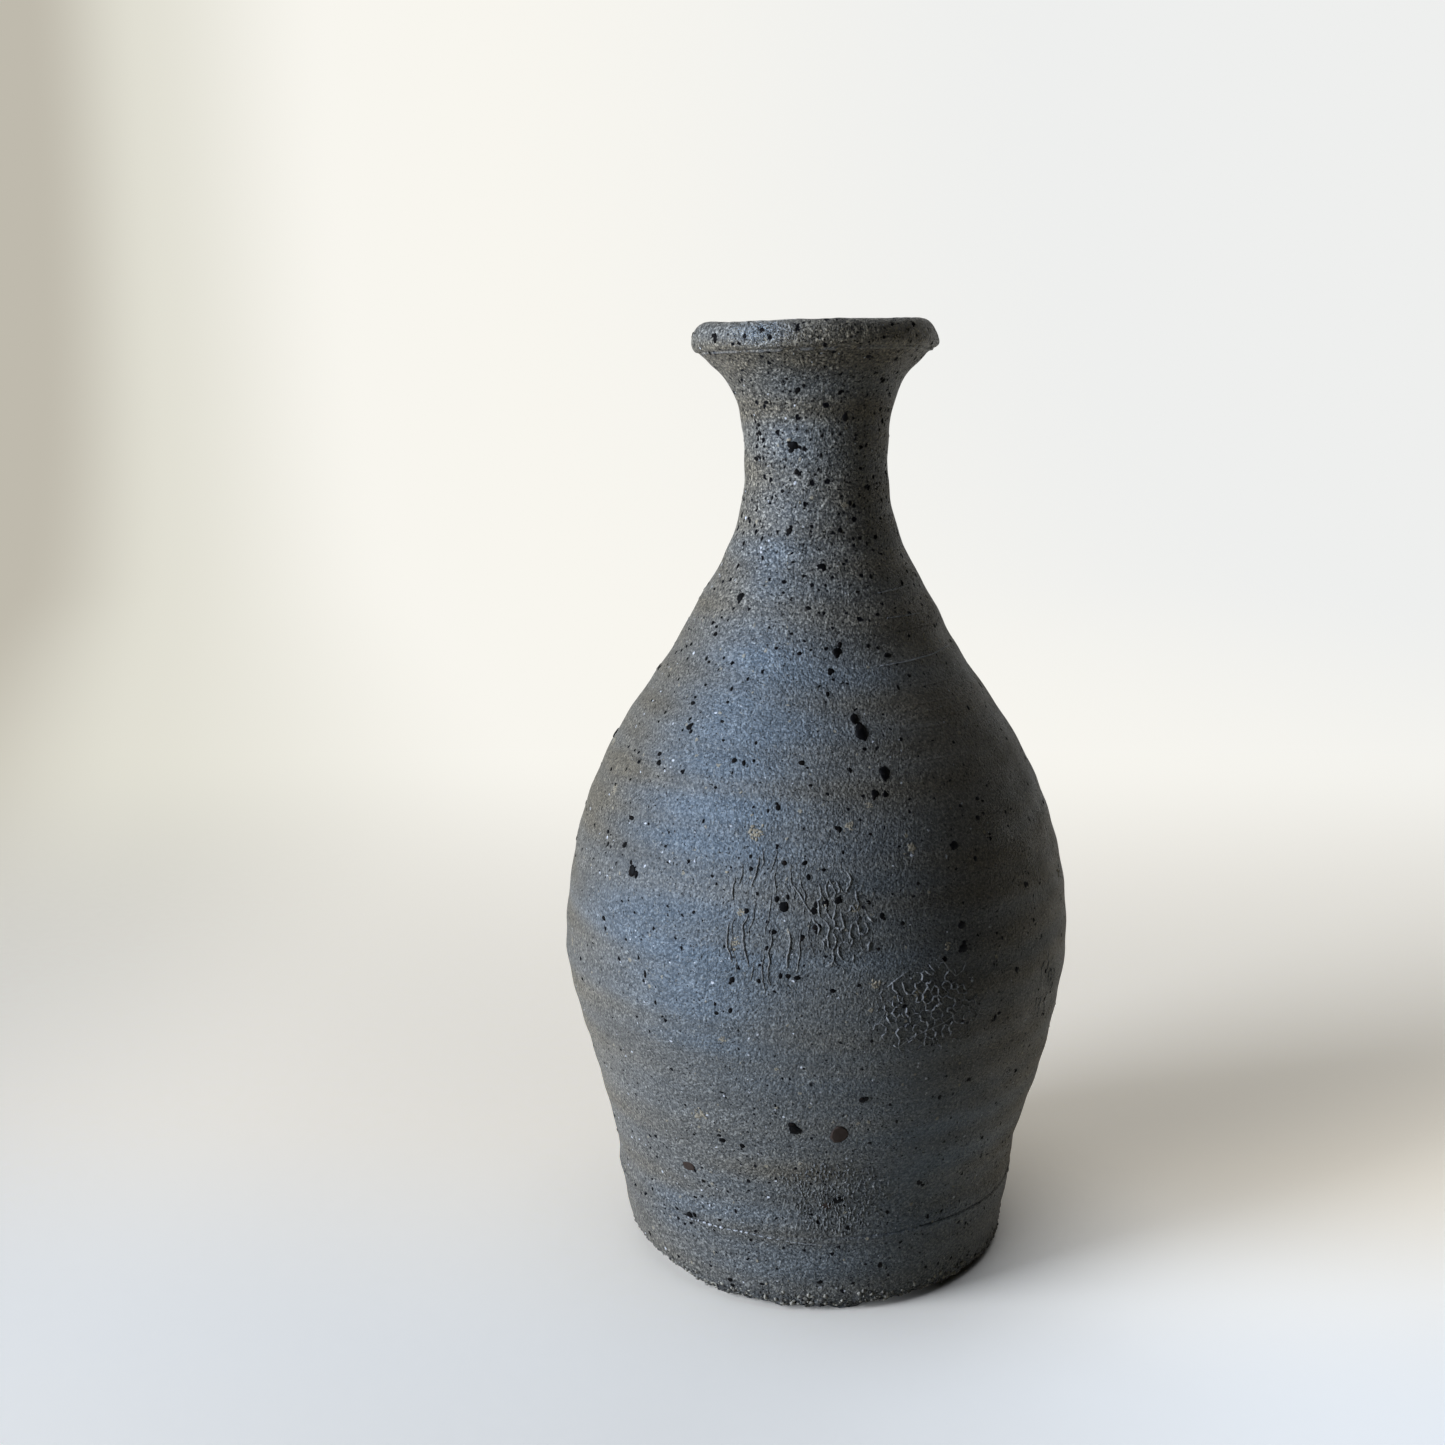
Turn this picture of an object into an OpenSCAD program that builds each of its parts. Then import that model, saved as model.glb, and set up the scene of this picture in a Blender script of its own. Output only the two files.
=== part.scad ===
// Bud vase in dark speckled stoneware, thrown in sections that are luted together with slip.
// A wire-cut foot carries a swelling body, a drawn-in neck and a rolled lip, and a glaze lines the inside.
// Millimetres, Z up, origin in the middle of the underside. Leans are degrees from upright, outward positive.
// A fullness is how far a curve holds its heading, as a part of the distance to the next station.

/* [Foot] */
// Diameter of the underside, where the vase meets the table
foot_d = 61.4; // [56:0.2:64]
// Radius of the worn edge round the underside
foot_edge_r = 2.4; // [1:0.1:4]
// Height of the tool line that ends the foot
foot_h = 13.4; // [11:0.1:18]
// Diameter of the vase at the tool line
foot_line_d = 65.6; // [63:0.1:70]
// How far the bead of slip stands out along the tool line
bead_proud = 0.25; // [0.1:0.05:0.6]
// Height of that bead of slip
bead_h = 0.9; // [0.5:0.1:1.6]
// Thickness of the floor inside the foot
floor_t = 7; // [5:0.1:9]
// Diameter of the level part of the floor
floor_flat_d = 38; // [30:1:46]

/* [Body] */
// Thickness of the thrown wall, from the foot up to the lip
wall_t = 4.2; // [3:0.1:5.5]
// Lean of the wall where it starts at the tool line
foot_line_lean = 4; // [0:1:8]
// Height of the waist above the tool line
waist_up = 7.5; // [5:0.1:11]
// Diameter at the waist
waist_d = 67.8; // [65:0.1:71]
// Lean of the wall at the waist
waist_lean = 16; // [10:1:22]
// Fullness of the curve that leaves the waist
waist_full = 0.33; // [0.2:0.01:0.45]
// Height of the widest point above the tool line
belly_up = 38; // [32:0.5:44]
// Diameter at the widest point
belly_d = 81.8; // [76:0.1:90]
// Fullness of the belly below its widest point
belly_low_full = 0.16; // [0.12:0.01:0.4]
// Fullness of the belly above its widest point
belly_high_full = 0.51; // [0.35:0.01:0.55]
// Height of the body, from the tool line to the seam of the neck
body_h = 90.6; // [80:0.1:105]

/* [Neck] */
// Diameter at the seam where the neck stands on the shoulder
neck_base_d = 40; // [36:0.1:44]
// How far the wall leans inward at that seam
shoulder_lean = 25.5; // [20:0.5:32]
// Fullness of the shoulder below the seam
shoulder_full = 0.23; // [0.15:0.01:0.4]
// Fullness of the neck above the seam
neck_base_full = 0.28; // [0.2:0.01:0.4]
// Height of the narrowest point above the seam
narrow_up = 25; // [20:0.1:29]
// Diameter at the narrowest point
neck_d = 22.4; // [20:0.1:26]
// Fullness of the neck below its narrowest point
neck_low_full = 0.5; // [0.3:0.01:0.55]
// Fullness of the neck above its narrowest point
neck_high_full = 0.38; // [0.25:0.01:0.5]
// Height of the neck, from its seam to the crease under the lip
neck_h = 41.2; // [36:0.1:48]
// Diameter at the crease under the lip
crease_d = 36.2; // [32:0.1:40]
// Lean of the flared wall at the crease
flare_lean = 58; // [50:1:64]
// Fullness of the flare below the crease
flare_full = 0.4; // [0.25:0.01:0.5]

/* [Lip] */
// How far the rolled lip stands out past the crease
lip_out = 1; // [0.5:0.1:2]
// Height of the widest point of the lip above the crease
lip_widest_up = 1.5; // [1:0.1:2]
// How far the crown of the lip stands out past the inner edge of the flare
crown_out = 1; // [0.6:0.1:1.5]
// Height of the crown of the lip above the inner edge of the flare
crown_up = 1.2; // [0.8:0.1:2]

/* [Lining] */
// Thickness of the glaze that lines the floor, the body and the neck
glaze_t = 0.5; // [0.3:0.1:1]

/* [Hidden] */
$fn = 96;
curve_steps = 16;
bead_steps = 6;
round_full = 0.4;
clay = "#4b4d50";
clay_lip = "#46463f";
lining = "#2c2f33";

// Stations on the outline, each as radius and height
foot_line = [foot_line_d / 2, foot_h];
bead_foot = [foot_line_d / 2, foot_h - bead_h];
waist = [waist_d / 2, foot_h + waist_up];
belly = [belly_d / 2, foot_h + belly_up];
neck_base = [neck_base_d / 2, foot_h + body_h];
narrow = [neck_d / 2, neck_base[1] + narrow_up];
crease = [crease_d / 2, neck_base[1] + neck_h];
lip_widest = crease + [lip_out, lip_widest_up];

// Unit step along a lean
function heading(lean) = [sin(lean), cos(lean)];

// Control points of the smooth curve between two stations
function curve(a, a_lean, a_full, b, b_lean, b_full) =
    let (span = norm(b - a))
    [a, a + a_full * span * heading(a_lean), b - b_full * span * heading(b_lean), b];

// Point and direction on such a curve, with t from 0 to 1
function spot(c, t) =
    pow(1 - t, 3) * c[0] + 3 * pow(1 - t, 2) * t * c[1] + 3 * (1 - t) * t * t * c[2] + pow(t, 3) * c[3];
function run(c, t) =
    pow(1 - t, 2) * (c[1] - c[0]) + 2 * (1 - t) * t * (c[2] - c[1]) + t * t * (c[3] - c[2]);

// Point at a depth square to the curve, on its left side
function inset(c, t, depth) =
    let (d = run(c, t))
    spot(c, t) + depth * [-d[1], d[0]] / norm(d);

// Points along a curve, or along its copy at a depth
function trace(c, depth = 0, steps = curve_steps) = [for (i = [0 : steps]) inset(c, i / steps, depth)];
function trace_all(curves, depth = 0) = [for (c = curves) each trace(c, depth)];
function reversed(points) = [for (i = [len(points) - 1 : -1 : 0]) points[i]];

// The wall, as the curves between its stations from the tool line to the crease
body_curves = [
    curve(foot_line, foot_line_lean, waist_full, waist, waist_lean, waist_full),
    curve(waist, waist_lean, waist_full, belly, 0, belly_low_full),
    curve(belly, 0, belly_high_full, neck_base, -shoulder_lean, shoulder_full)
];
neck_curves = [
    curve(neck_base, -shoulder_lean, neck_base_full, narrow, 0, neck_low_full),
    curve(narrow, 0, neck_high_full, crease, flare_lean, flare_full)
];

// The inside of the foot: a level floor that turns up into the wall
foot_seat = inset(body_curves[0], 0, wall_t);
floor_edge = [floor_flat_d / 2, floor_t];
floor_curve = curve(floor_edge, 90, round_full, foot_seat, foot_line_lean, round_full);

// The foot's own side, from its worn edge to the bead along the tool line
side_lean = atan2(foot_line_d / 2 - foot_d / 2, foot_h);
edge_low = [foot_d / 2 - foot_edge_r, 0];
edge_high = [foot_d / 2, 0] + foot_edge_r * heading(side_lean);
edge_curve = curve(edge_low, 90, round_full, edge_high, side_lean, round_full);
bead_crest = (bead_foot + foot_line) / 2 + [bead_proud, 0];
bead_low_curve = curve(bead_foot, 90, round_full, bead_crest, 0, round_full);
bead_high_curve = curve(bead_crest, 0, round_full, foot_line, -90, round_full);

// The rolled lip, from the crease over its widest point and its crown to the inner edge of the flare
flare_inner = inset(neck_curves[1], 1, wall_t);
crown = flare_inner + [crown_out, crown_up];
lip_under_curve = curve(crease, 90, round_full, lip_widest, 0, round_full);
lip_face_curve = curve(lip_widest, 0, round_full, crown, -90, round_full);
lip_inner_curve = curve(crown, -90, round_full, flare_inner, flare_lean - 180, round_full);

module turned(points) {
    rotate_extrude() polygon(points);
}

module foot() {
    color(clay)
    turned(concat(
        [[0, 0]],
        trace(edge_curve, 0, bead_steps),
        trace(bead_low_curve, 0, bead_steps),
        trace(bead_high_curve, 0, bead_steps),
        reversed(trace(floor_curve)),
        [[0, floor_t]]
    ));
}

module body() {
    color(clay)
    turned(concat(trace_all(body_curves), reversed(trace_all(body_curves, wall_t))));
}

module neck() {
    color(clay)
    turned(concat(trace_all(neck_curves), reversed(trace_all(neck_curves, wall_t))));
}

module lip() {
    color(clay_lip)
    turned(concat(
        trace(lip_under_curve, 0, bead_steps),
        trace(lip_face_curve, 0, curve_steps),
        trace(lip_inner_curve, 0, bead_steps)
    ));
}

module liner_glaze() {
    wall_curves = concat(body_curves, neck_curves);
    color(lining)
    turned(concat(
        [[0, floor_t]],
        trace(floor_curve),
        trace_all(wall_curves, wall_t),
        reversed(trace_all(wall_curves, wall_t + glaze_t)),
        reversed(trace(floor_curve, glaze_t)),
        [[0, floor_t + glaze_t]]
    ));
}

foot();
body();
neck();
lip();
liner_glaze();
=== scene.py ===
"""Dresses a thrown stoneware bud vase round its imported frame.

Each clay piece is turned from the outline of its own solid in the frame, then marked the way hands, wire and slip
mark clay. Lengths are metres. Angles are degrees round the vase from its front, positive to the right.
"""

import math

import bmesh
import bpy
import numpy as np
from bpy.props import FloatProperty, FloatVectorProperty, IntProperty, PointerProperty
from mathutils import Matrix, Vector, noise
from mathutils.bvhtree import BVHTree
from mathutils.geometry import delaunay_2d_cdt


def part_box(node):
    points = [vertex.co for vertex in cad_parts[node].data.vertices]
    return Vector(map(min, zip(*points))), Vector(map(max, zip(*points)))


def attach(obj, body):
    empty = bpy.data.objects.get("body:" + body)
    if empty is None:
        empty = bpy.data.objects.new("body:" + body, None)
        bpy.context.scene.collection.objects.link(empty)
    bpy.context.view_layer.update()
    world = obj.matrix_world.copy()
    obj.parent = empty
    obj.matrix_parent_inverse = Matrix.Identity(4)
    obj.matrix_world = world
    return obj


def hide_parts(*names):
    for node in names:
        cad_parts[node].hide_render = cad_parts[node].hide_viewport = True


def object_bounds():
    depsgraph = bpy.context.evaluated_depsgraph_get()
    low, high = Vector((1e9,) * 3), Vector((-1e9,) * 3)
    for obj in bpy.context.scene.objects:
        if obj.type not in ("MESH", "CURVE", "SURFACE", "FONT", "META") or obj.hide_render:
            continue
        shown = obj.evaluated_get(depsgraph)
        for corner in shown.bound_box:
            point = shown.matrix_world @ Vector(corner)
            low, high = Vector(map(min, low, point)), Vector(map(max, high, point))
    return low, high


bl_info = {
    "name": "Stoneware bud vase",
    "version": (1, 0, 0),
    "blender": (4, 5, 0),
    "location": "View3D > Sidebar > Vase",
    "description": "Builds a thrown bud vase, its clay, spots and lining, round a packed frame",
    "category": "Object",
}

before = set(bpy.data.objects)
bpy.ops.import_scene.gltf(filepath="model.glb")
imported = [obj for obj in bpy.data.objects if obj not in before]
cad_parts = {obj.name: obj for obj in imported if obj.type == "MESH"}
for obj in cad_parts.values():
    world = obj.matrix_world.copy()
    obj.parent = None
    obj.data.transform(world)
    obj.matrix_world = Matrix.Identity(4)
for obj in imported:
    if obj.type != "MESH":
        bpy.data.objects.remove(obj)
cad_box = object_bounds()

MM = 0.001
BODY = "root"
CLAY_NODES = ("foot", "body", "neck", "lip")

# The picture that the camera matches, and the eye that it was taken from
PHOTO_SIDE = 1445
FOCAL_PIXELS = 1800
SENSOR = 36
NEAREST = 0.01
EYE = Vector((0, -0.2847, 0.1468))
EYE_DOWN = 11.926
EYE_TURN = -2.996
EYE_ROLL = -0.557


def linear(code):
    """Linear colour of an sRGB hex value."""
    parts = [int(code[i : i + 2], 16) / 255 for i in (1, 3, 5)]
    return tuple(c / 12.92 if c <= 0.04045 else ((c + 0.055) / 1.055) ** 2.4 for c in parts)


def length(name, description, mm):
    """A length that a user may change, with its default in millimetres."""
    return FloatProperty(
        name=name, description=description, default=mm * MM, min=0, precision=5, unit="LENGTH", subtype="DISTANCE"
    )


def shade(name, description, code):
    """A colour that a user may change, with its default as an sRGB hex value."""
    return FloatVectorProperty(
        name=name, description=description, default=linear(code), size=3, min=0, max=1, subtype="COLOR"
    )


class ClaySettings(bpy.types.PropertyGroup):
    """How the clay was worked, and its colours after the firing."""

    ring_depth: length("Throwing rings", "Height of the soft rings that fingers leave on the wall", 0.07)
    ring_pitch: length("Ring spacing", "Distance from one throwing ring to the next", 6.4)
    lump_depth: length("Hand lumps", "Depth of the broad unevenness of a hand-thrown wall", 0.16)
    wire_depth: length("Wire cut", "Depth of the tears that the cutting wire leaves round the foot", 0.5)
    rim_tilt: FloatProperty(
        name="Rim tilt", description="How far the rim rises to the right", default=0.0083, subtype="ANGLE"
    )
    warm: shade("Bare clay", "Olive-grey of the clay where the wash is thin", "#6e685a")
    slate: shade("Slate wash", "Blue-grey of the clay where the wash is thick", "#696f72")
    pale: shade("Pale grain", "Quartz and worn crests", "#b9b5a6")
    dark: shade("Dark grain", "Iron grains too small to stand out", "#101013")
    iron: shade("Iron spots", "Melted iron", "#070708")
    rust: shade("Iron edges", "Brown where the iron is thin", "#443a34")
    grog: shade("Grog", "Fired grit that shows through the surface", "#aca38d")
    lining: shade("Liner glaze", "Dark glaze inside", "#1d2226")


class SpotSettings(bpy.types.PropertyGroup):
    """The grains that stand out of the clay."""

    iron_count: IntProperty(name="Iron spots", description="Iron spots beyond those placed by hand", default=460)
    grog_count: IntProperty(name="Grog lumps", description="Grog lumps beyond those placed by hand", default=26)
    grit_count: IntProperty(name="Foot grit", description="Grains of grit pressed into the foot", default=1500)
    iron_small: length("Smallest spot", "Diameter of the smallest iron spot that stands out", 0.55)
    iron_large: length("Largest spot", "Diameter of the largest iron spot that stands out", 2.1)
    grit_small: length("Finest grit", "Diameter of the finest grain on the foot", 0.2)
    grit_large: length("Coarsest grit", "Diameter of the coarsest grain on the foot", 0.78)


class StageSettings(bpy.types.PropertyGroup):
    """The paper that the vase stands on and the light that falls on it."""

    paper: shade("Paper", "Paper of the floor", "#f2e9d8")
    far_paper: shade("Far paper", "Dim paper at the far left", "#bfbaad")
    left_paper: shade("Left paper", "Warm paper to the left of the vase", "#e0ded2")
    bright_paper: shade("Bright paper", "Paper behind the vase, where the room is brightest", "#f8f6ef")
    right_paper: shade("Right paper", "Paper behind the vase and to its right", "#eeefee")
    veil: shade("Paper's veil", "Paleness of the paper under the light of the room", "#f0eade")
    cool: shade("Cool veil", "The same at the front, where the light is cooler", "#d6dfea")
    bounce: shade("Paper's throw", "What the paper throws back on the clay", "#9a917c")
    key_power: FloatProperty(
        name="Window light", description="Power of the soft lamp on the left", default=16, unit="POWER"
    )
    key_colour: shade("Window colour", "Colour of the soft lamp on the left", "#dfeaff")
    room: FloatProperty(name="Room light", description="Strength of the light from all round", default=0.01)


# Reading the frame

WELD = 1e-6
STRAIGHT = 1e-3
FINE_STEPS = 6000


def outline_of(node):
    """Outline of a turned node as radius and height, found by folding its mesh flat and welding each ring."""
    flat = bmesh.new()
    flat.from_mesh(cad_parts[node].data)
    for vert in flat.verts:
        vert.co = (math.hypot(vert.co.x, vert.co.y), 0, vert.co.z)
    bmesh.ops.remove_doubles(flat, verts=flat.verts, dist=WELD)
    beside = {v: {e.other_vert(v) for e in v.link_edges} for v in flat.verts}
    ends = [v for v in beside if len(beside[v]) == 1]
    here = min(ends or beside, key=lambda v: v.co.z)
    path = []
    while here:
        path.append(here)
        here = next((v for v in beside[here] if v not in path), None)
    points = np.array([(v.co.x, v.co.z) for v in path])
    flat.free()
    return points


def seam(one, other):
    """Outer and inner end of the seam that two outlines share."""
    gaps = np.linalg.norm(one[:, None] - other[None], axis=2).min(axis=1)
    shared_points = one[gaps < 10 * WELD]
    return shared_points[shared_points[:, 0].argmax()], shared_points[shared_points[:, 0].argmin()]


def nearest(outline, point):
    """Index of the corner of an outline that is nearest to a point."""
    return np.linalg.norm(outline - point, axis=1).argmin()


def way_round(outline, start, end, outer):
    """The way along a closed outline from start to end, on its outer or its inner side."""
    first, last = nearest(outline, start), nearest(outline, end)
    ahead = np.roll(outline, -first, axis=0)[: (last - first) % len(outline) + 1]
    back = np.roll(outline[::-1], first + 1, axis=0)[: (first - last) % len(outline) + 1]
    ways = sorted((ahead, back), key=lambda way: way[:, 0].mean())
    return ways[1] if outer else ways[0]


def paced(fine, pitch):
    """Places along a finely stepped line whose steps are about one pitch long, where the pitch may vary."""
    counted = np.r_[0, np.cumsum(np.diff(fine) / pitch[1:])]
    return np.interp(np.linspace(0, counted[-1], max(2, round(counted[-1])) + 1), counted, fine)


def eased(points, pitch):
    """Smooth run through the points where an outline bends. The pitch of its steps may be a function of height."""
    step = np.diff(points, axis=0)
    step /= np.linalg.norm(step, axis=1)[:, None]
    turn = step[:-1, 0] * step[1:, 1] - step[:-1, 1] * step[1:, 0]
    points = points[np.r_[True, np.abs(turn) > STRAIGHT, True]]
    along = np.r_[0, np.cumsum(np.linalg.norm(np.diff(points, axis=0), axis=1))]
    chord = np.vstack((points[1] - points[0], points[2:] - points[:-2], points[-1] - points[-2]))
    slope = chord / np.r_[along[1], along[2:] - along[:-2], along[-1] - along[-2]][:, None]
    fine = np.linspace(0, along[-1], FINE_STEPS)
    i = np.clip(np.searchsorted(along, fine) - 1, 0, len(along) - 2)
    span = np.diff(along)[i][:, None]
    t = (fine - along[i])[:, None] / span
    run = (
        (1 + 2 * t) * (1 - t) ** 2 * points[i]
        + t * (1 - t) ** 2 * span * slope[i]
        + t * t * (3 - 2 * t) * points[i + 1]
        + t * t * (t - 1) * span * slope[i + 1]
    )
    places = paced(fine, pitch(run[:, 1]) if callable(pitch) else np.full(FINE_STEPS, pitch))
    return np.c_[np.interp(places, fine, run[:, 0]), np.interp(places, fine, run[:, 1])]


OUTLINES = {node: outline_of(node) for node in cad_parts}
FOOT_SEAM = FOOT_LINE, FOOT_SEAT = seam(OUTLINES["body"], OUTLINES["foot"])
NECK_SEAM = NECK_BASE, NECK_SEAT = seam(OUTLINES["body"], OUTLINES["neck"])
LIP_SEAM = CREASE, FLARE_EDGE = seam(OUTLINES["neck"], OUTLINES["lip"])
WIDEST = max(outline[:, 0].max() for outline in OUTLINES.values())
TOP = cad_box[1].z
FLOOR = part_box("liner_glaze")[0].z


# What the hand left on the clay

# Where the wash lies thick or thin, and where its blue is painted sheen of the window, at the left front and on the
# lip's glossy side: angle, height in mm, half width in degrees, half height in mm, and how much
WASH_AND_SHEEN = (
    (-22, 92, 30, 20, 0.7),
    (-24, 62, 32, 24, 0.66),
    (-24, 50, 14, 6, 0.35),
    (-14, 130, 34, 11, 0.38),
    (-25, 147, 12, 4, 0.5),
    (-50, 63, 18, 3.5, 0.35),
    (-8, 34, 14, 5, 0.2),
    (-28, 112, 12, 6, 0.2),
    (10, 106, 40, 10, 0.2),
    (20, 98, 24, 6, 0.22),
    (18, 66, 16, 22, 0.35),
    (28, 30, 24, 26, 0.45),
    (-5, 14, 55, 22, 0.52),
    (-43, 13, 9, 3, 0.3),
    (-62, 84, 12, 9, -0.25),
    (2, 21, 14, 6, -0.2),
)
# Patches of painted shade and light, given in the same way, darker where much is above 0 and lighter below it: for
# the most part shade on the right of the belly away from the window, between the ridges of the nets, under the lip's
# crease and round the foot, and light on the shoulder, the lower left and the ends of the lip
PAINTED_SHADE_AND_LIGHT = (
    (32, 66, 20, 18, 0.34),
    (36, 38, 20, 16, 0.18),
    (24, 52, 9, 7, 0.18),
    (5, 66, 7, 8, 0.08),
    (-50, 74, 12, 14, 0.1),
    (-26, 100, 20, 12, -0.12),
    (-12, 76, 14, 12, -0.08),
    (-60, 38, 14, 18, -0.12),
    (34, 106, 24, 16, -0.15),
    (0, 141, 70, 4, 0.2),
    (4, 148, 20, 4, 0.1),
    (44, 148, 16, 4, -0.24),
    (-25, 148, 14, 4, -0.12),
    (0, 10, 999, 16, 0.1),
    (0, 0.6, 999, 1.9, 0.4),
)
# Where fine turning lines stayed on the shoulder, given in the same way
TURNING_LINES = ((48, 94, 26, 15, 1),)

# Flats and swellings that the hands left on the wall: angle, height in mm, reach in mm, how much wider than high they
# are, and push in mm
WALL_KNOCKS = (
    (-83, 88, 7, 1, 0.35),
    (-83, 63, 7, 1, -0.35),
    (-83, 37.6, 5, 1, -0.35),
    (83, 94.5, 5, 1, -0.3),
)
# The same on the lip, with heights above the crease
LIP_KNOCKS = (
    (87, 0.3, 0.6, 1, 0.12),
    (92, 3.9, 1.5, 3, -0.9),
    (-86, 4.3, 1.5, 1, -0.4),
    (-85, -1.6, 1.4, 2, 0.4),
    (85, -1.6, 1.3, 2, 0.3),
    (-68, 3.4, 1.4, 1, 0.1),
    (150, 2.0, 1.6, 2, -0.25),
    (-140, 3.2, 1.8, 2, 0.2),
)
# Wear and burrs round the cut edge of the foot: angle, half width in degrees, height in mm, and push in mm
EDGE_KNOCKS = ((-58, 24, 4.2, -2.0), (9, 5, 1.0, 0.9), (48, 28, 1.7, -0.9))
# The axis sways a little: height and reach in mm, and how far to the right in mm
SWAYS = ((32, 9, 0.38), (122, 16, 0.2))
# The lower edge of the lip was rolled higher at the front: how far, how wide and where in degrees, and how deep
ROLL_UP = 0.9 * MM
ROLL_WIDE = 90
ROLL_AT = 25
ROLL_DEEP = 2.4 * MM

# Sizes of the lumps in the clay, and how far they stand out
RING_WANDER = 22 * MM
RING_SWAY = 2.4
WALL_LUMP = 15 * MM
FINE_LUMP = 1.3 * MM
FINE_OUT = 0.03 * MM
LIP_LUMP = 3.5 * MM
LIP_OUT = 0.1 * MM
LIP_FINE_OUT = 0.05 * MM
LIP_FADE = 0.4 * MM
# The burr of slip under the lip: how far under the crease, its reach, how far it stands out, and the gaps in it
BURR_UNDER = 0.2 * MM
BURR_REACH = 0.18 * MM
BURR_OUT = 0.24 * MM
BURR_GAP = 4 * MM
BURR_FRAY = 1.1 * MM
BURR_WORN = 0.22
# The torn edge of the foot: how high it reaches in full and at all, and the sizes of its tears
TORN_FULL = 0.6 * MM
TORN_TOP = 3.2 * MM
TEAR = 2.2 * MM
SMALL_TEAR = 0.9 * MM
# The bead along the tool line: how far its middle lies under it, its reach, and how much of it is wiped away
BEAD_UNDER = 0.45 * MM
BEAD_REACH = 0.5 * MM
BEAD_WIPED = 0.16 * MM
# Blooms and streaks of the wash and of the darker tone: how much flatter than wide they are, and their sizes
BLOOM_FLAT = 2.4
BLOOM = 34 * MM
STREAK_FLAT = 8
WASH_STREAK = 30 * MM
TONE_STREAK = 24 * MM
# The glossy side of the lip: its middle and half width
GLOSS_AT = -25
GLOSS_WIDE = 17
# Heights between which the dark speckle grows towards the neck and towards the foot
SPECKLE_UP = (92 * MM, 124 * MM)
SPECKLE_DOWN = (45 * MM, 15 * MM)


def lumps(points, size, seed=0):
    """Smooth noise from about -1 to 1, with lumps about one size across."""
    shift = Vector((17.3, 5.1, 29.7)) * seed
    flat = points.reshape(-1, 3) / size
    return np.array([noise.noise(Vector(p) + shift) for p in flat]).reshape(points.shape[:-1])


def bump(distance, reach):
    """A soft bump that is 1 in the middle and fades over its reach."""
    return np.exp(-((distance / reach) ** 2))


def rise(value, low, high):
    """Smooth step from 0 at low to 1 at high."""
    t = np.clip((value - low) / (high - low), 0, 1)
    return t * t * (3 - 2 * t)


def turned_by(angle, middle):
    """Angle from a middle angle, within half a turn either way."""
    return (angle - middle + 180) % 360 - 180


def settled(points, tilt):
    """Points of the vase after the lip was rolled, the wall swayed and the rim tilted."""
    moved = points.copy()
    height = points[..., 2]
    for level, reach, much in SWAYS:
        moved[..., 0] += much * MM * bump(height - level * MM, reach * MM)
    moved[..., 2] += tilt * points[..., 0] * rise(height, NECK_BASE[1], CREASE[1])
    turn = np.degrees(np.arctan2(points[..., 0], -points[..., 1]))
    moved[..., 2] += ROLL_UP * bump(turn - ROLL_AT, ROLL_WIDE) * bump(height - CREASE[1], ROLL_DEEP)
    return moved


def painted(rows, angle, height):
    """Sum of soft patches, given as WASH_AND_SHEEN gives them."""
    return sum(
        much * bump(turned_by(angle, middle), wide) * bump(height - level * MM, tall * MM)
        for middle, level, wide, tall, much in rows
    )


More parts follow.
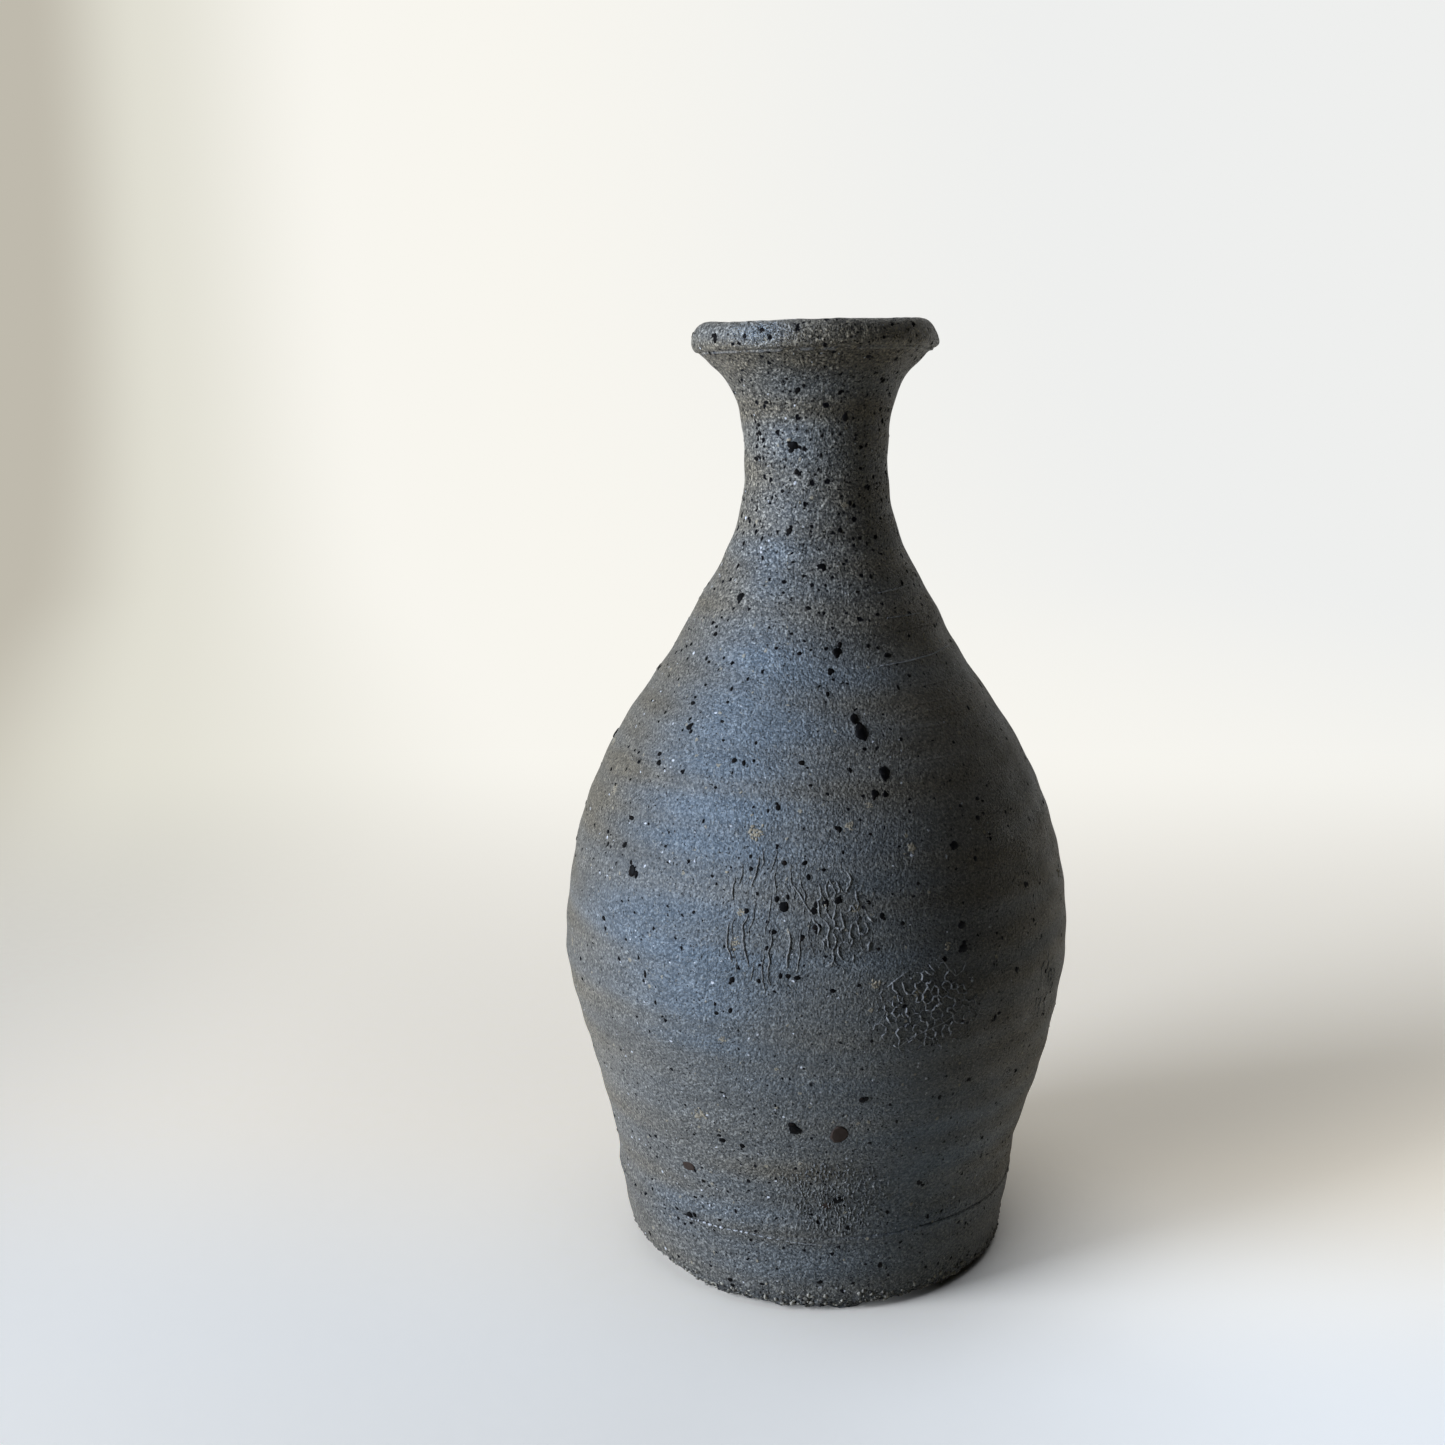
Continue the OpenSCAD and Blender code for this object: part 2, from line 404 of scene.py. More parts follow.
def clay_relief(points, angle, clay):
    """How far the clay stands out at each point of the outer wall, and the fields that its material reads."""
    height, radius = points[..., 2], np.hypot(points[..., 0], points[..., 1])
    wander = lumps(points, RING_WANDER, 1)
    rings = np.sin(2 * np.pi * (height / clay.ring_pitch - angle / 360) + RING_SWAY * wander)
    out = clay.ring_depth * rings + clay.lump_depth * lumps(points, WALL_LUMP, 2)
    grain = lumps(points, FINE_LUMP, 3)
    out += FINE_OUT * grain

    # A thin burr of slip under the lip, broken here and there
    broken = lumps(points, BURR_GAP, 4) + 0.6 * lumps(points, BURR_FRAY, 10)
    burr = bump(height - CREASE[1] + BURR_UNDER, BURR_REACH) * rise(broken, -0.4, 0.2)
    out += BURR_OUT * burr
    for base, knocks in ((0, WALL_KNOCKS), (CREASE[1], LIP_KNOCKS)):
        for middle, level, reach, wider, push in knocks:
            across = np.radians(turned_by(angle, middle)) * radius / wider
            out += push * MM * bump(np.hypot(across, height - base - level * MM), reach * MM)
    on_lip = rise(height, CREASE[1], CREASE[1] + LIP_FADE)
    out += on_lip * (LIP_OUT * lumps(points, LIP_LUMP, 5) + LIP_FINE_OUT * grain)

    # The wire tears the clay round the edge of the foot
    torn = rise(-height, -TORN_TOP, -TORN_FULL)
    tears = lumps(points, TEAR, 6) + 0.7 * lumps(points, SMALL_TEAR, 7)
    out += torn * clay.wire_depth * 0.9 * tears
    for middle, wide, tall, push in EDGE_KNOCKS:
        out += push * MM * bump(turned_by(angle, middle), wide) * rise(-height, -tall * MM, 0)

    # The bead along the tool line is nearly wiped away
    out -= BEAD_WIPED * bump(height - FOOT_LINE[1] + BEAD_UNDER, BEAD_REACH)

    # The wash was brushed on as the wheel turned, so it lies in level streaks
    blooms, streaks = points * (1, 1, BLOOM_FLAT), points * (1, 1, STREAK_FLAT)
    wash = 0.1 + 0.14 * lumps(blooms, BLOOM, 8) + 0.46 * lumps(streaks, WASH_STREAK, 9)
    speckle = 0.1 + 0.9 * rise(height, *SPECKLE_UP) + 0.35 * rise(-height, *np.negative(SPECKLE_DOWN)) + 1.2 * torn
    return out, {
        "wash": np.clip(wash + painted(WASH_AND_SHEEN, angle, height), 0, 1),
        "painted_shade_and_streaks": painted(PAINTED_SHADE_AND_LIGHT, angle, height) + 0.14 * lumps(streaks, TONE_STREAK, 14),
        "worn": np.clip(BURR_WORN * burr, 0, 1),
        "gloss": on_lip * (0.1 + 0.9 * bump(turned_by(angle, GLOSS_AT), GLOSS_WIDE)),
        "lines": painted(TURNING_LINES, angle, height),
        "speckle": speckle,
    }


# Meshes

# The side that is looked at has a finer grid than the other, and the grid changes over some degrees
FRONT = (-95, 95)
FRONT_FADE = 8
SHARP = math.radians(60)
BAKE_MAP = "OFBake"
BAKE_BANDS = ((0.01, 0.455), (0.465, 0.91))
HIDDEN_BAND = (0.925, 0.99)


def turns(radius, fine, coarse):
    """Angles round a piece, closer together at the front than at the back."""
    round_it = np.linspace(-180, 180, FINE_STEPS)
    front = rise(round_it, FRONT[0] - FRONT_FADE, FRONT[0]) * rise(-round_it, -FRONT[1] - FRONT_FADE, -FRONT[1])
    return paced(round_it, np.degrees((coarse + (fine - coarse) * front) / radius))


def new_piece(name, verts, faces, fields):
    """A smooth object with fields of values at its corners."""
    mesh = bpy.data.meshes.new(name)
    mesh.from_pydata(verts, [], faces)
    for field, values in fields.items():
        mesh.attributes.new(field, "FLOAT", "POINT").data.foreach_set("value", np.asarray(values, np.float32))
    mesh.polygons.foreach_set("use_smooth", np.ones(len(faces), bool))
    piece = bpy.data.objects.new(name, mesh)
    bpy.context.scene.collection.objects.link(piece)
    return piece


def bake_map(section, skin, angles, rows):
    """Places of the corners of a turned mesh on its bake map: the outer wall as two half turns one above the other,
    and the rest in a narrow band."""
    along = np.r_[0, np.cumsum(np.linalg.norm(np.diff(section, axis=0), axis=1))]
    steps = len(angles) - 1
    ends = np.arange(rows), (np.arange(rows) + 1) % len(section)
    outer = skin[ends[0]] & skin[ends[1]]
    half = int(np.searchsorted(angles, 0))
    places = np.zeros((rows, steps, 4, 2))
    for part, (first, last) in enumerate(((0, half), (half, steps))):
        across = (angles[first : last + 1] - angles[first]) / (angles[last] - angles[first])
        for corner, (far, top) in enumerate(((0, 0), (1, 0), (1, 1), (0, 1))):
            u = across[far : len(across) - 1 + far]
            places[:, first:last, corner, 0] = np.where(outer[:, None], u, (u + part) / 2)
            for chosen, band in ((outer, BAKE_BANDS[part]), (~outer, HIDDEN_BAND)):
                if chosen.any():
                    reach = along[ends[0][chosen]].min(), along[ends[1][chosen]].max()
                    v = np.interp(along[ends[top]], reach, band)
                    places[chosen, first:last, corner, 1] = v[chosen][:, None]
    return places.reshape(-1, 2).tolist()


def turned_mesh(name, section, skin, angles, clay, closed):
    """Object turned from a section of radius and height. Rings that are skin take the relief of the clay.
    A closed section runs back to its start, and any other one is closed on the axis."""
    rings, steps = len(section), len(angles) - 1
    turn = np.radians(angles[:-1])
    radius, height = section[:, 0][:, None], section[:, 1][:, None]
    points = np.stack(
        np.broadcast_arrays(radius * np.sin(turn), -radius * np.cos(turn), height + 0 * turn), axis=-1
    ).copy()
    run = np.gradient(section, axis=0)
    normal = np.c_[run[:, 1], -run[:, 0]] / np.linalg.norm(run, axis=1)[:, None]
    fields = {}
    if skin.any():
        out, skin_fields = clay_relief(points[skin], np.broadcast_to(angles[:-1], (skin.sum(), steps)), clay)
        side, up = normal[skin][:, 0][:, None] * out, normal[skin][:, 1][:, None] * out
        points[skin] += np.stack((side * np.sin(turn), -side * np.cos(turn), up), axis=-1)
        for field, values in skin_fields.items():
            fields[field] = np.zeros((rings, steps))
            fields[field][skin] = values
    points[..., 2] = np.maximum(points[..., 2], 0)
    points = settled(points, clay.rim_tilt)

    index = np.arange(rings * steps).reshape(rings, steps)
    low = index if closed else index[:-1]
    high = np.roll(index, -1, axis=0) if closed else index[1:]
    quads = np.stack((low, np.roll(low, -1, axis=1), np.roll(high, -1, axis=1), high), axis=-1).reshape(-1, 4)
    verts, faces = points.reshape(-1, 3).tolist(), quads.tolist()
    corners = bake_map(section, skin, angles, len(low))
    if not closed:
        for ring, first in ((0, True), (rings - 1, False)):
            verts.append((0, 0, float(section[ring, 1])))
            for j in range(steps):
                a, b = int(index[ring, j]), int(index[ring, (j + 1) % steps])
                faces.append((b, a, len(verts) - 1) if first else (a, b, len(verts) - 1))
                corners += [(j / steps, HIDDEN_BAND[0 if first else 1])] * 3
    piece = new_piece(name, verts, faces, {
        field: np.r_[values.ravel(), np.zeros(len(verts) - values.size)] for field, values in fields.items()
    })
    piece.data.uv_layers.new(name=BAKE_MAP).data.foreach_set("uv", np.array(corners, np.float32).ravel())
    piece.data.set_sharp_from_angle(angle=SHARP)
    return piece


def in_place(piece, material, slot, *nodes):
    """Gives a piece its material and its place in the frame."""
    piece.data.materials.append(material)
    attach(piece, BODY)
    if nodes:
        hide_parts(*nodes)


# Materials

# The range that smooth noise keeps to for the most part
NOISE = (0.3, 0.7)
SMOOTH = {"interpolation_type": "SMOOTHSTEP"}

# Sizes in the fired surface in mm. The sand is drawn coarser than the real 0.15 mm, so that it shows.
SAND = 0.3
SAND_CLUMP = 0.45
CLOUD = 5
RAGGED_EDGE = 0.5
RAGGED_FAR = 0.75
LINE_LONG = 26
LINE_HIGH = 0.5
SURFACE_DEEP = 0.26
# How many times a pale grain outshines a dark one on calm and on speckled clay, and how far clumps shift its tone
SAND_SPREAD = (2.4, 7.6)
CLUMP_TONE = (-1.08, -0.08)
# Grains in the fired surface: cell in mm, radius in cells of the largest grain and of the least one (below 0 it doesn't
# show), how much that radius shrinks where the clay is calm, how soft the edge is in cells, colour, and strength
GRAINS = (
    (0.42, 0.50, -0.30, 0.00, 0.20, "pale", 0.32),
    (0.44, 0.54, -0.30, 0.14, 0.16, "dark", 0.80),
    (1.05, 0.47, -0.75, 0.20, 0.06, "dark", 1.00),
    (2.40, 0.22, -0.60, 0.03, 0.03, "dark", 1.00),
    (1.70, 0.22, -0.38, 0.00, 0.05, "tan", 0.80),
    (1.30, 0.20, -0.30, 0.00, 0.05, "glint", 1.00),
)
GRAIN_SUNK = -0.5
GRAIN_PROUD = 0.3
# Glint grains are white spots of quartz and mica, painted glints of the sparkle that they throw in light
GLINT = linear("#e1e4e7")
GLEAM = linear("#b3ddff")
BARE_GLEAM = linear("#f3f1ec")
# How much the bare clay and the thick wash gleam
GLEAM_LEVEL = (0.36, 0.62)


def node_adder(owner):
    """Empties the nodes of a material or a world, and returns the function that adds one node to them.
    It sets the node's options, feeds its inputs from values or from outputs, by name or in order, and returns the
    node's own outputs."""
    owner.use_nodes = True
    tree = owner.node_tree
    tree.nodes.clear()

    def add(kind, feeds=(), **options):
        node = tree.nodes.new("ShaderNode" + kind)
        for option, value in options.items():
            setattr(node, option, value)
        for key, value in feeds.items() if isinstance(feeds, dict) else enumerate(feeds):
            socket = node.inputs[key]
            if isinstance(value, bpy.types.NodeSocket):
                tree.links.new(value, socket)
            else:
                socket.default_value = (*value, 1) if socket.type == "RGBA" else value
        return node.outputs

    return add


def shared(name, surface, *settings):
    """The material of that name, made the first time that it is asked for.
    Its surface is a function that adds its nodes and returns the output of the last one."""
    material = bpy.data.materials.get(name)
    if not material:
        material = bpy.data.materials.new(name)
        add = node_adder(material)
        add("OutputMaterial", {"Surface": surface(add, add("TexCoord")["Object"], *settings)})
    return material


def per(mm):
    """Scale of a pattern whose cells are so many millimetres across."""
    return 1 / (mm * MM)


def thrown_stoneware(add, place, clay):
    """Iron-bearing stoneware, thrown and fired bare in reduction under a thin slate wash.
    To the eye it is matt and dry, salted with pale and dark grains, blue where the wash is thick and where the sheen
    of the window is painted in."""
    wash, painted_shade_and_streaks, worn, gloss, lines, speckle = (
        add("Attribute", attribute_name=field)["Fac"]
        for field in ("wash", "painted_shade_and_streaks", "worn", "gloss", "lines", "speckle")
    )
    colour = add("Mix", {0: wash, 6: clay.warm, 7: clay.slate}, data_type="RGBA")[2]

    # Sand, where every grain has its own tone
    sand = add("TexVoronoi", {"Vector": place, "Scale": per(SAND)})
    luck = add("SeparateColor", {"Color": sand["Color"]})[0]
    clump = add("TexNoise", {"Vector": place, "Scale": per(SAND_CLUMP), "Detail": 2, "Roughness": 0.6})["Fac"]
    cloud = add("TexNoise", {"Vector": place, "Scale": per(CLOUD), "Detail": 3})["Fac"]
    spread = add("MapRange", (speckle, 0, 1.6, *SAND_SPREAD))[0]
    tone = add("MapRange", (clump, *NOISE, *CLUMP_TONE))[0]
    tone = add("Math", (tone, luck), operation="ADD")[0]
    tone = add("Math", (spread, tone), operation="POWER")[0]
    clouded = add("MapRange", (cloud, *NOISE, 0.9, 1.1))[0]
    tone = add("Math", (tone, clouded), operation="MULTIPLY")[0]
    # The painted shade darkens the clay and its gleam, and where it is below 0 it lightens them as painted light
    clear = add("MapRange", (painted_shade_and_streaks, 0, 1, 1, 0), clamp=False)[0]
    tone = add("Math", (tone, clear), operation="MULTIPLY")[0]
    colour = add("HueSaturation", {"Color": colour, "Value": tone})[0]

    # Grains have ragged edges, so the place where they are looked up is shaken a little
    shake = add("TexNoise", {"Vector": place, "Scale": per(RAGGED_EDGE), "Detail": 2})["Color"]
    ragged = add("VectorMath", (shake, (RAGGED_FAR * MM,) * 3, place), operation="MULTIPLY_ADD")[0]
    calm = add("MapRange", (speckle, 0, 1, 1, 0))[0]
    relief = add("Math", (sand["Distance"], -0.35, clump), operation="MULTIPLY_ADD")[0]
    # The thick wash gleams blue, the bare clay is dry and the iron grains are drier still
    tint = add("Mix", {0: wash, 6: BARE_GLEAM, 7: GLEAM}, data_type="RGBA")[2]
    gleam = add("MapRange", (wash, 0, 1, *GLEAM_LEVEL))[0]
    gleam = add("Math", (gloss, 1, gleam), operation="MULTIPLY_ADD")[0]
    gleam = add("Math", (gleam, clear), operation="MULTIPLY")[0]
    colours = {"pale": clay.pale, "dark": clay.dark, "tan": clay.grog, "glint": GLINT}
    for cell, largest, least, shrink, soft, which, strength in GRAINS:
        cells = add("TexVoronoi", {"Vector": ragged, "Scale": per(cell)})
        lot = add("SeparateColor", {"Color": cells["Color"]})[0]
        radius = add("MapRange", (lot, 0, 1, least, largest))[0]
        inside = add("Math", (radius, cells["Distance"]), operation="SUBTRACT")[0]
        inside = add("Math", (calm, -shrink, inside), operation="MULTIPLY_ADD")[0]
        mask = add("MapRange", (inside, 0, soft, 0, strength))[0]
        colour = add("Mix", {0: mask, 6: colour, 7: colours[which]}, data_type="RGBA")[2]
        if which == "dark":
            gleam = add("Math", (mask, -1, gleam), operation="MULTIPLY_ADD", use_clamp=True)[0]
        push = GRAIN_SUNK if which == "dark" else GRAIN_PROUD
        relief = add("Math", (mask, push, relief), operation="MULTIPLY_ADD")[0]
    # Burrs, crests and beads turn near white, partly as wear and partly as painted highlight
    colour = add("Mix", {0: worn, 6: colour, 7: GLINT}, data_type="RGBA")[2]
    rough = add("MapRange", (cloud, *NOISE, 0.5, 0.62))[0]
    rough = add("Math", (gloss, -0.32, rough), operation="MULTIPLY_ADD")[0]

    # Turning lines on the shoulder are long level streaks
    level = add("Mapping", {"Vector": place, "Scale": (per(LINE_LONG), per(LINE_LONG), per(LINE_HIGH))})[0]
    streak = add("TexNoise", {"Vector": level, "Scale": 1, "Detail": 1})["Fac"]
    streak = add("MapRange", (streak, 0.56, 0.7, 0, 1))[0]
    streak = add("Math", (streak, lines), operation="MULTIPLY")[0]
    relief = add("Math", (streak, 0.7, relief), operation="MULTIPLY_ADD")[0]
    deeper = add("MapRange", (gloss, 0, 1, 1, 1.8))[0]
    relief = add("Math", (relief, deeper), operation="MULTIPLY")[0]
    normal = add("Bump", {"Height": relief, "Strength": 0.9, "Distance": SURFACE_DEEP * MM})[0]
    return add("BsdfPrincipled", {
        "Base Color": colour, "Roughness": rough, "IOR": 1.5, "Normal": normal,
        "Specular IOR Level": gleam, "Specular Tint": tint, "Sheen Weight": 0.08, "Sheen Roughness": 0.5,
    })[0]


def melted_iron(add, place, clay):
    """Iron pyrites melted out of the clay in the firing: black, rough as cinder, brown where it runs thin."""
    tone = add("Attribute", attribute_name="tone")["Fac"]
    mottle = add("TexNoise", {"Vector": place, "Scale": per(0.8), "Detail": 2})["Fac"]
    fade = add("MapRange", (mottle, 0.55, 0.75, 0, 0.3))[0]
    fade = add("Math", (fade, tone), operation="MAXIMUM")[0]
    colour = add("Mix", {0: fade, 6: clay.iron, 7: clay.rust}, data_type="RGBA")[2]
    rough = add("MapRange", (mottle, *NOISE, 0.45, 0.8))[0]
    normal = add("Bump", {"Height": mottle, "Strength": 0.6, "Distance": 0.1 * MM})[0]
    return add("BsdfPrincipled", {
        "Base Color": colour, "Roughness": rough, "IOR": 1.5, "Specular IOR Level": 0.08, "Normal": normal,
    })[0]


def fired_grog(add, place, pale, dark):
    """Crushed fired clay and sand that shows through the surface: dry, tan, each grain its own tone."""
    tone = add("Attribute", attribute_name="tone")["Fac"]
    speck = add("TexNoise", {"Vector": place, "Scale": per(0.35), "Detail": 2})["Fac"]
    mixed = add("Math", (speck, 0.9, tone), operation="MULTIPLY_ADD")[0]
    mixed = add("Math", (mixed, 0.45), operation="SUBTRACT", use_clamp=True)[0]
    colour = add("Mix", {0: mixed, 6: dark, 7: pale}, data_type="RGBA")[2]
    normal = add("Bump", {"Height": speck, "Strength": 0.7, "Distance": 0.1 * MM})[0]
    rough = add("MapRange", (speck, *NOISE, 0.5, 0.85))[0]
    return add("BsdfPrincipled", {"Base Color": colour, "Roughness": rough, "IOR": 1.5, "Normal": normal})[0]


def poured_glaze(add, place, clay):
    """Liner glaze, poured in and out again: dark, glossy, with soft runs and fine pinholes."""
    runs = add("Mapping", {"Vector": place, "Scale": (1, 1, 0.25)})[0]
    cloud = add("TexNoise", {"Vector": runs, "Scale": per(7), "Detail": 3})["Fac"]
    holes = add("TexVoronoi", {"Vector": place, "Scale": per(2.2)})["Distance"]
    hole = add("MapRange", (holes, 0.05, 0.14, 0, 1))[0]
    fade = add("MapRange", (cloud, 0.35, 0.7, 0, 0.55))[0]
    colour = add("Mix", {0: fade, 6: clay.lining, 7: clay.slate}, data_type="RGBA")[2]
    rough = add("MapRange", (cloud, *NOISE, 0.1, 0.22))[0]
    normal = add("Bump", {"Height": hole, "Strength": 0.5, "Distance": 0.1 * MM})[0]
    return add("BsdfPrincipled", {"Base Color": colour, "Roughness": rough, "IOR": 1.52, "Normal": normal})[0]


# Where the painted light and shade of the paper change, each as the two ends of a soft ramp in metres. The
# backdrop's ramps run across, and slant with the distance to the back.
FAR = (0, 0.36)
BACK_SLANT = 0.33
DIM_SIDE = (-0.23, -0.135)
LIGHT_SIDE = (-0.16, 0.02)
PLAIN_SIDE = (0.1, 0.6)
DIM_FLOOR = (-0.21, -0.11)
COOL_FRONT = (-0.055, 0.035)
COOL_SLANT = 0.1
# The edge of the shadow, which slants back from a place in front of the vase
BRIGHT_SIDE = (-0.005, 0.11)
SHADOW_SLANT = -1.5
SHADOW_FRONT = -0.015
# How much of the veil shows on the dim floor, beside the vase and past its shadow
DIM_GLOW = 0.6
PAPER_GLOW = 0.43
SIDE_GLOW = 0.75
# How far the vase keeps the room's light off, the shares of open sky that count as none and all of it, and the least
# that is left on the lit side, with where that side ends
SKY_REACH = 0.09
SKY_SAMPLES = 16
OPEN_SKY = (0.32, 0.8)
LEAST_SKY = 0.5
LIT_SIDE = (-0.02, 0.02)
FIBRE = 2.5


def seen_background(add):
    """1 for the rays that show the background itself, straight, mirrored or through glass, and 0 for other light."""
    path = add("LightPath")
    seen = add("Math", (path["Is Camera Ray"], path["Is Glossy Ray"]), operation="MAXIMUM")[0]
    return add("Math", (seen, path["Is Transmission Ray"]), operation="MAXIMUM")[0]


def soft_paper(add, place, stage):
    """Heavy cotton paper: white, dry and faintly mottled, with painted light and shade that change softly across its
    far end.
    The vase stands in a dim room, so the paper shows its white but throws little of it back on the clay."""
    spot = add("SeparateXYZ", (place,))
    far = add("MapRange", (spot["Y"], *FAR, 0, 1), **SMOOTH)[0]
    aside = add("Math", (spot["Y"], BACK_SLANT, spot["X"]), operation="MULTIPLY_ADD")[0]
    back = stage.far_paper
    for reach, paper in (
        (DIM_SIDE, stage.left_paper), (LIGHT_SIDE, stage.bright_paper), (PLAIN_SIDE, stage.right_paper)
    ):
        side = add("MapRange", (aside, *reach, 0, 1), **SMOOTH)[0]
        back = add("Mix", {0: side, 6: back, 7: paper}, data_type="RGBA")[2]
    fibre = add("TexNoise", {"Vector": place, "Scale": per(FIBRE), "Detail": 3})["Fac"]
    tone = add("MapRange", (fibre, *NOISE, 0.985, 1.015))[0]
    white = add("HueSaturation", {"Color": stage.paper, "Value": tone})[0]
    seen = seen_background(add)
    colour = add("Mix", {0: seen, 6: stage.bounce, 7: white}, data_type="RGBA")[2]
    skin = add("BsdfDiffuse", {"Color": colour})[0]

    # The near end shows paler than the lamps light it, but not where the vase stands in the way of the room's light,
    # and the far end shows as plain pale paper
    sky = add("AmbientOcclusion", {"Distance": SKY_REACH}, samples=SKY_SAMPLES)["AO"]
    least = add("MapRange", (spot["X"], *LIT_SIDE, LEAST_SKY, 0))[0]
    sky = add("MapRange", (sky, *OPEN_SKY, least, 1))[0]
    inner = add("Math", (spot["Y"], SHADOW_FRONT), operation="MAXIMUM")[0]
    across = add("Math", (inner, SHADOW_SLANT, spot["X"]), operation="MULTIPLY_ADD")[0]
    veil = add("MapRange", (across, *BRIGHT_SIDE, PAPER_GLOW, SIDE_GLOW), **SMOOTH)[0]
    dim = add("MapRange", (spot["X"], *DIM_FLOOR, DIM_GLOW, 1), **SMOOTH)[0]
    for share in (seen, sky, dim):
        veil = add("Math", (veil, share), operation="MULTIPLY")[0]
    inward = add("Math", (spot["X"], COOL_SLANT, spot["Y"]), operation="MULTIPLY_ADD")[0]
    warmth = add("MapRange", (inward, *COOL_FRONT, 0, 1), **SMOOTH)[0]
    tint = add("Mix", {0: warmth, 6: stage.cool, 7: stage.veil}, data_type="RGBA")[2]
    veil = add("Emission", {"Color": tint, "Strength": veil})[0]
    near = add("AddShader", (skin, veil))[0]
    glow = add("Emission", {"Color": back})[0]
    shown = add("Math", (seen, far), operation="MULTIPLY")[0]
    return add("MixShader", (shown, near, glow))[0]


# Pieces

# Steps of the grids: along the wall, and round it at the front and at the back
FOOT_EDGE = 3 * MM
FOOT_EDGE_STEP = 0.25
FOOT_STEP = 0.35
FLOOR_STEP = 1.2 * MM
FOOT_ROUND = (0.4 * MM, 0.55 * MM)
UNDERSIDE_RINGS = 24
UNDERSIDE_FIRST = 0.5 * MM
BODY_STEP = 0.55 * MM
BODY_INNER_STEP = 4 * MM
BODY_ROUND = (0.5 * MM, 0.8 * MM)
NECK_STEP = 0.45
BURR_FINER = 0.35
BURR_ZONE = (3 * MM, 1 * MM)
NECK_INNER_STEP = 2 * MM
NECK_ROUND = (0.45 * MM, 0.45 * MM)
LIP_STEP = 0.17 * MM
LIP_ROUND = (0.25 * MM, 0.25 * MM)
LINING_STEP = 1.5 * MM
LINING_ROUND = 145


def clay_material():
    """The stoneware that every clay piece shares."""
    return shared("stoneware_thrown_and_washed", thrown_stoneware, bpy.context.scene.vase_clay)


def clay_piece(node, section, skin, angles, closed=True):
    """Turns one clay piece, and puts it in the place of its node."""
    piece = turned_mesh("clay_" + node, section, skin, angles, bpy.context.scene.vase_clay, closed)
    in_place(piece, clay_material(), "stoneware", node)


def wall_section(node, low, high, step, inner_step):
    """Section of a wall between two seams, and which of its rings are skin."""
    outer = eased(way_round(OUTLINES[node], low[0], high[0], True), step)
    inner = eased(way_round(OUTLINES[node], high[1], low[1], False), inner_step)
    section = np.vstack((outer, inner))
    return section, np.arange(len(section)) < len(outer)


class VASE_OT_throw_foot(bpy.types.Operator):
    """Throws the foot, with its wire-cut underside, its torn edge and the bead of slip along the tool line"""

    bl_idname = "vase.throw_foot"
    bl_label = "Throw foot"

    def execute(self, context):
        outline = OUTLINES["foot"]
        side = eased(
            outline[: nearest(outline, FOOT_LINE) + 1],
            lambda z: np.where(z < FOOT_EDGE, FOOT_EDGE_STEP, FOOT_STEP) * MM,
        )
        under = np.linspace(UNDERSIDE_FIRST, outline[0, 0], UNDERSIDE_RINGS)[:-1]
        floor = eased(outline[nearest(outline, FOOT_SEAT) :], FLOOR_STEP)
        section = np.vstack((np.c_[under, 0 * under], side, floor))
        skin = np.arange(len(section)) >= len(under)
        skin[len(under) + len(side) :] = False
        clay_piece("foot", section, skin, turns(FOOT_LINE[0], *FOOT_ROUND), closed=False)
        return {"FINISHED"}


class VASE_OT_throw_body(bpy.types.Operator):
    """Throws the body, from the tool line to the seam of the neck"""

    bl_idname = "vase.throw_body"
    bl_label = "Throw body"

    def execute(self, context):
        section, skin = wall_section("body", FOOT_SEAM, NECK_SEAM, BODY_STEP, BODY_INNER_STEP)
        clay_piece("body", section, skin, turns(section[:, 0].max(), *BODY_ROUND))
        return {"FINISHED"}


class VASE_OT_throw_neck(bpy.types.Operator):
    """Throws the neck, from its seam on the shoulder to the crease under the lip"""

    bl_idname = "vase.throw_neck"
    bl_label = "Throw neck"

    def execute(self, context):
        burr = [CREASE[1] - under for under in BURR_ZONE]
        section, skin = wall_section(
            "neck", NECK_SEAM, LIP_SEAM, lambda z: (NECK_STEP - BURR_FINER * rise(z, *burr)) * MM, NECK_INNER_STEP
        )
        clay_piece("neck", section, skin, turns(NECK_BASE[0], *NECK_ROUND))
        return {"FINISHED"}


class VASE_OT_roll_lip(bpy.types.Operator):
    """Rolls the lip over the flare of the neck"""

    bl_idname = "vase.roll_lip"
    bl_label = "Roll lip"

    def execute(self, context):
        section = eased(way_round(OUTLINES["lip"], CREASE, FLARE_EDGE, True), LIP_STEP)
        clay_piece("lip", section, np.ones(len(section), bool), turns(CREASE[0], *LIP_ROUND))
        return {"FINISHED"}


class VASE_OT_pour_lining(bpy.types.Operator):
    """Pours the liner glaze, as one piece in the body and one in the neck"""

    bl_idname = "vase.pour_lining"
    bl_label = "Pour lining"

    def execute(self, context):
        clay = context.scene.vase_clay
        glaze = shared("glaze_poured_lining", poured_glaze, clay)
        outline = OUTLINES["liner_glaze"]
        top = outline[:, 1].argmax()
        halves = outline[: top + 1], outline[top:]
        if halves[0][-1, 0] < halves[1][1, 0]:
            raise RuntimeError("the lining's outer wall should come first")
        split = (FLOOR + TOP) / 2
        walls = [eased(half, LINING_STEP) for half in halves]
        angles = np.linspace(-180, 180, LINING_ROUND)
        for name, keep in (("lining_body", lambda z: z <= split), ("lining_neck", lambda z: z >= split)):
            section = np.vstack([wall[keep(wall[:, 1])] for wall in walls])
            piece = turned_mesh(name, section, np.zeros(len(section), bool), angles, clay, name == "lining_neck")
            in_place(piece, glaze, "liner_glaze", "liner_glaze")
        return {"FINISHED"}


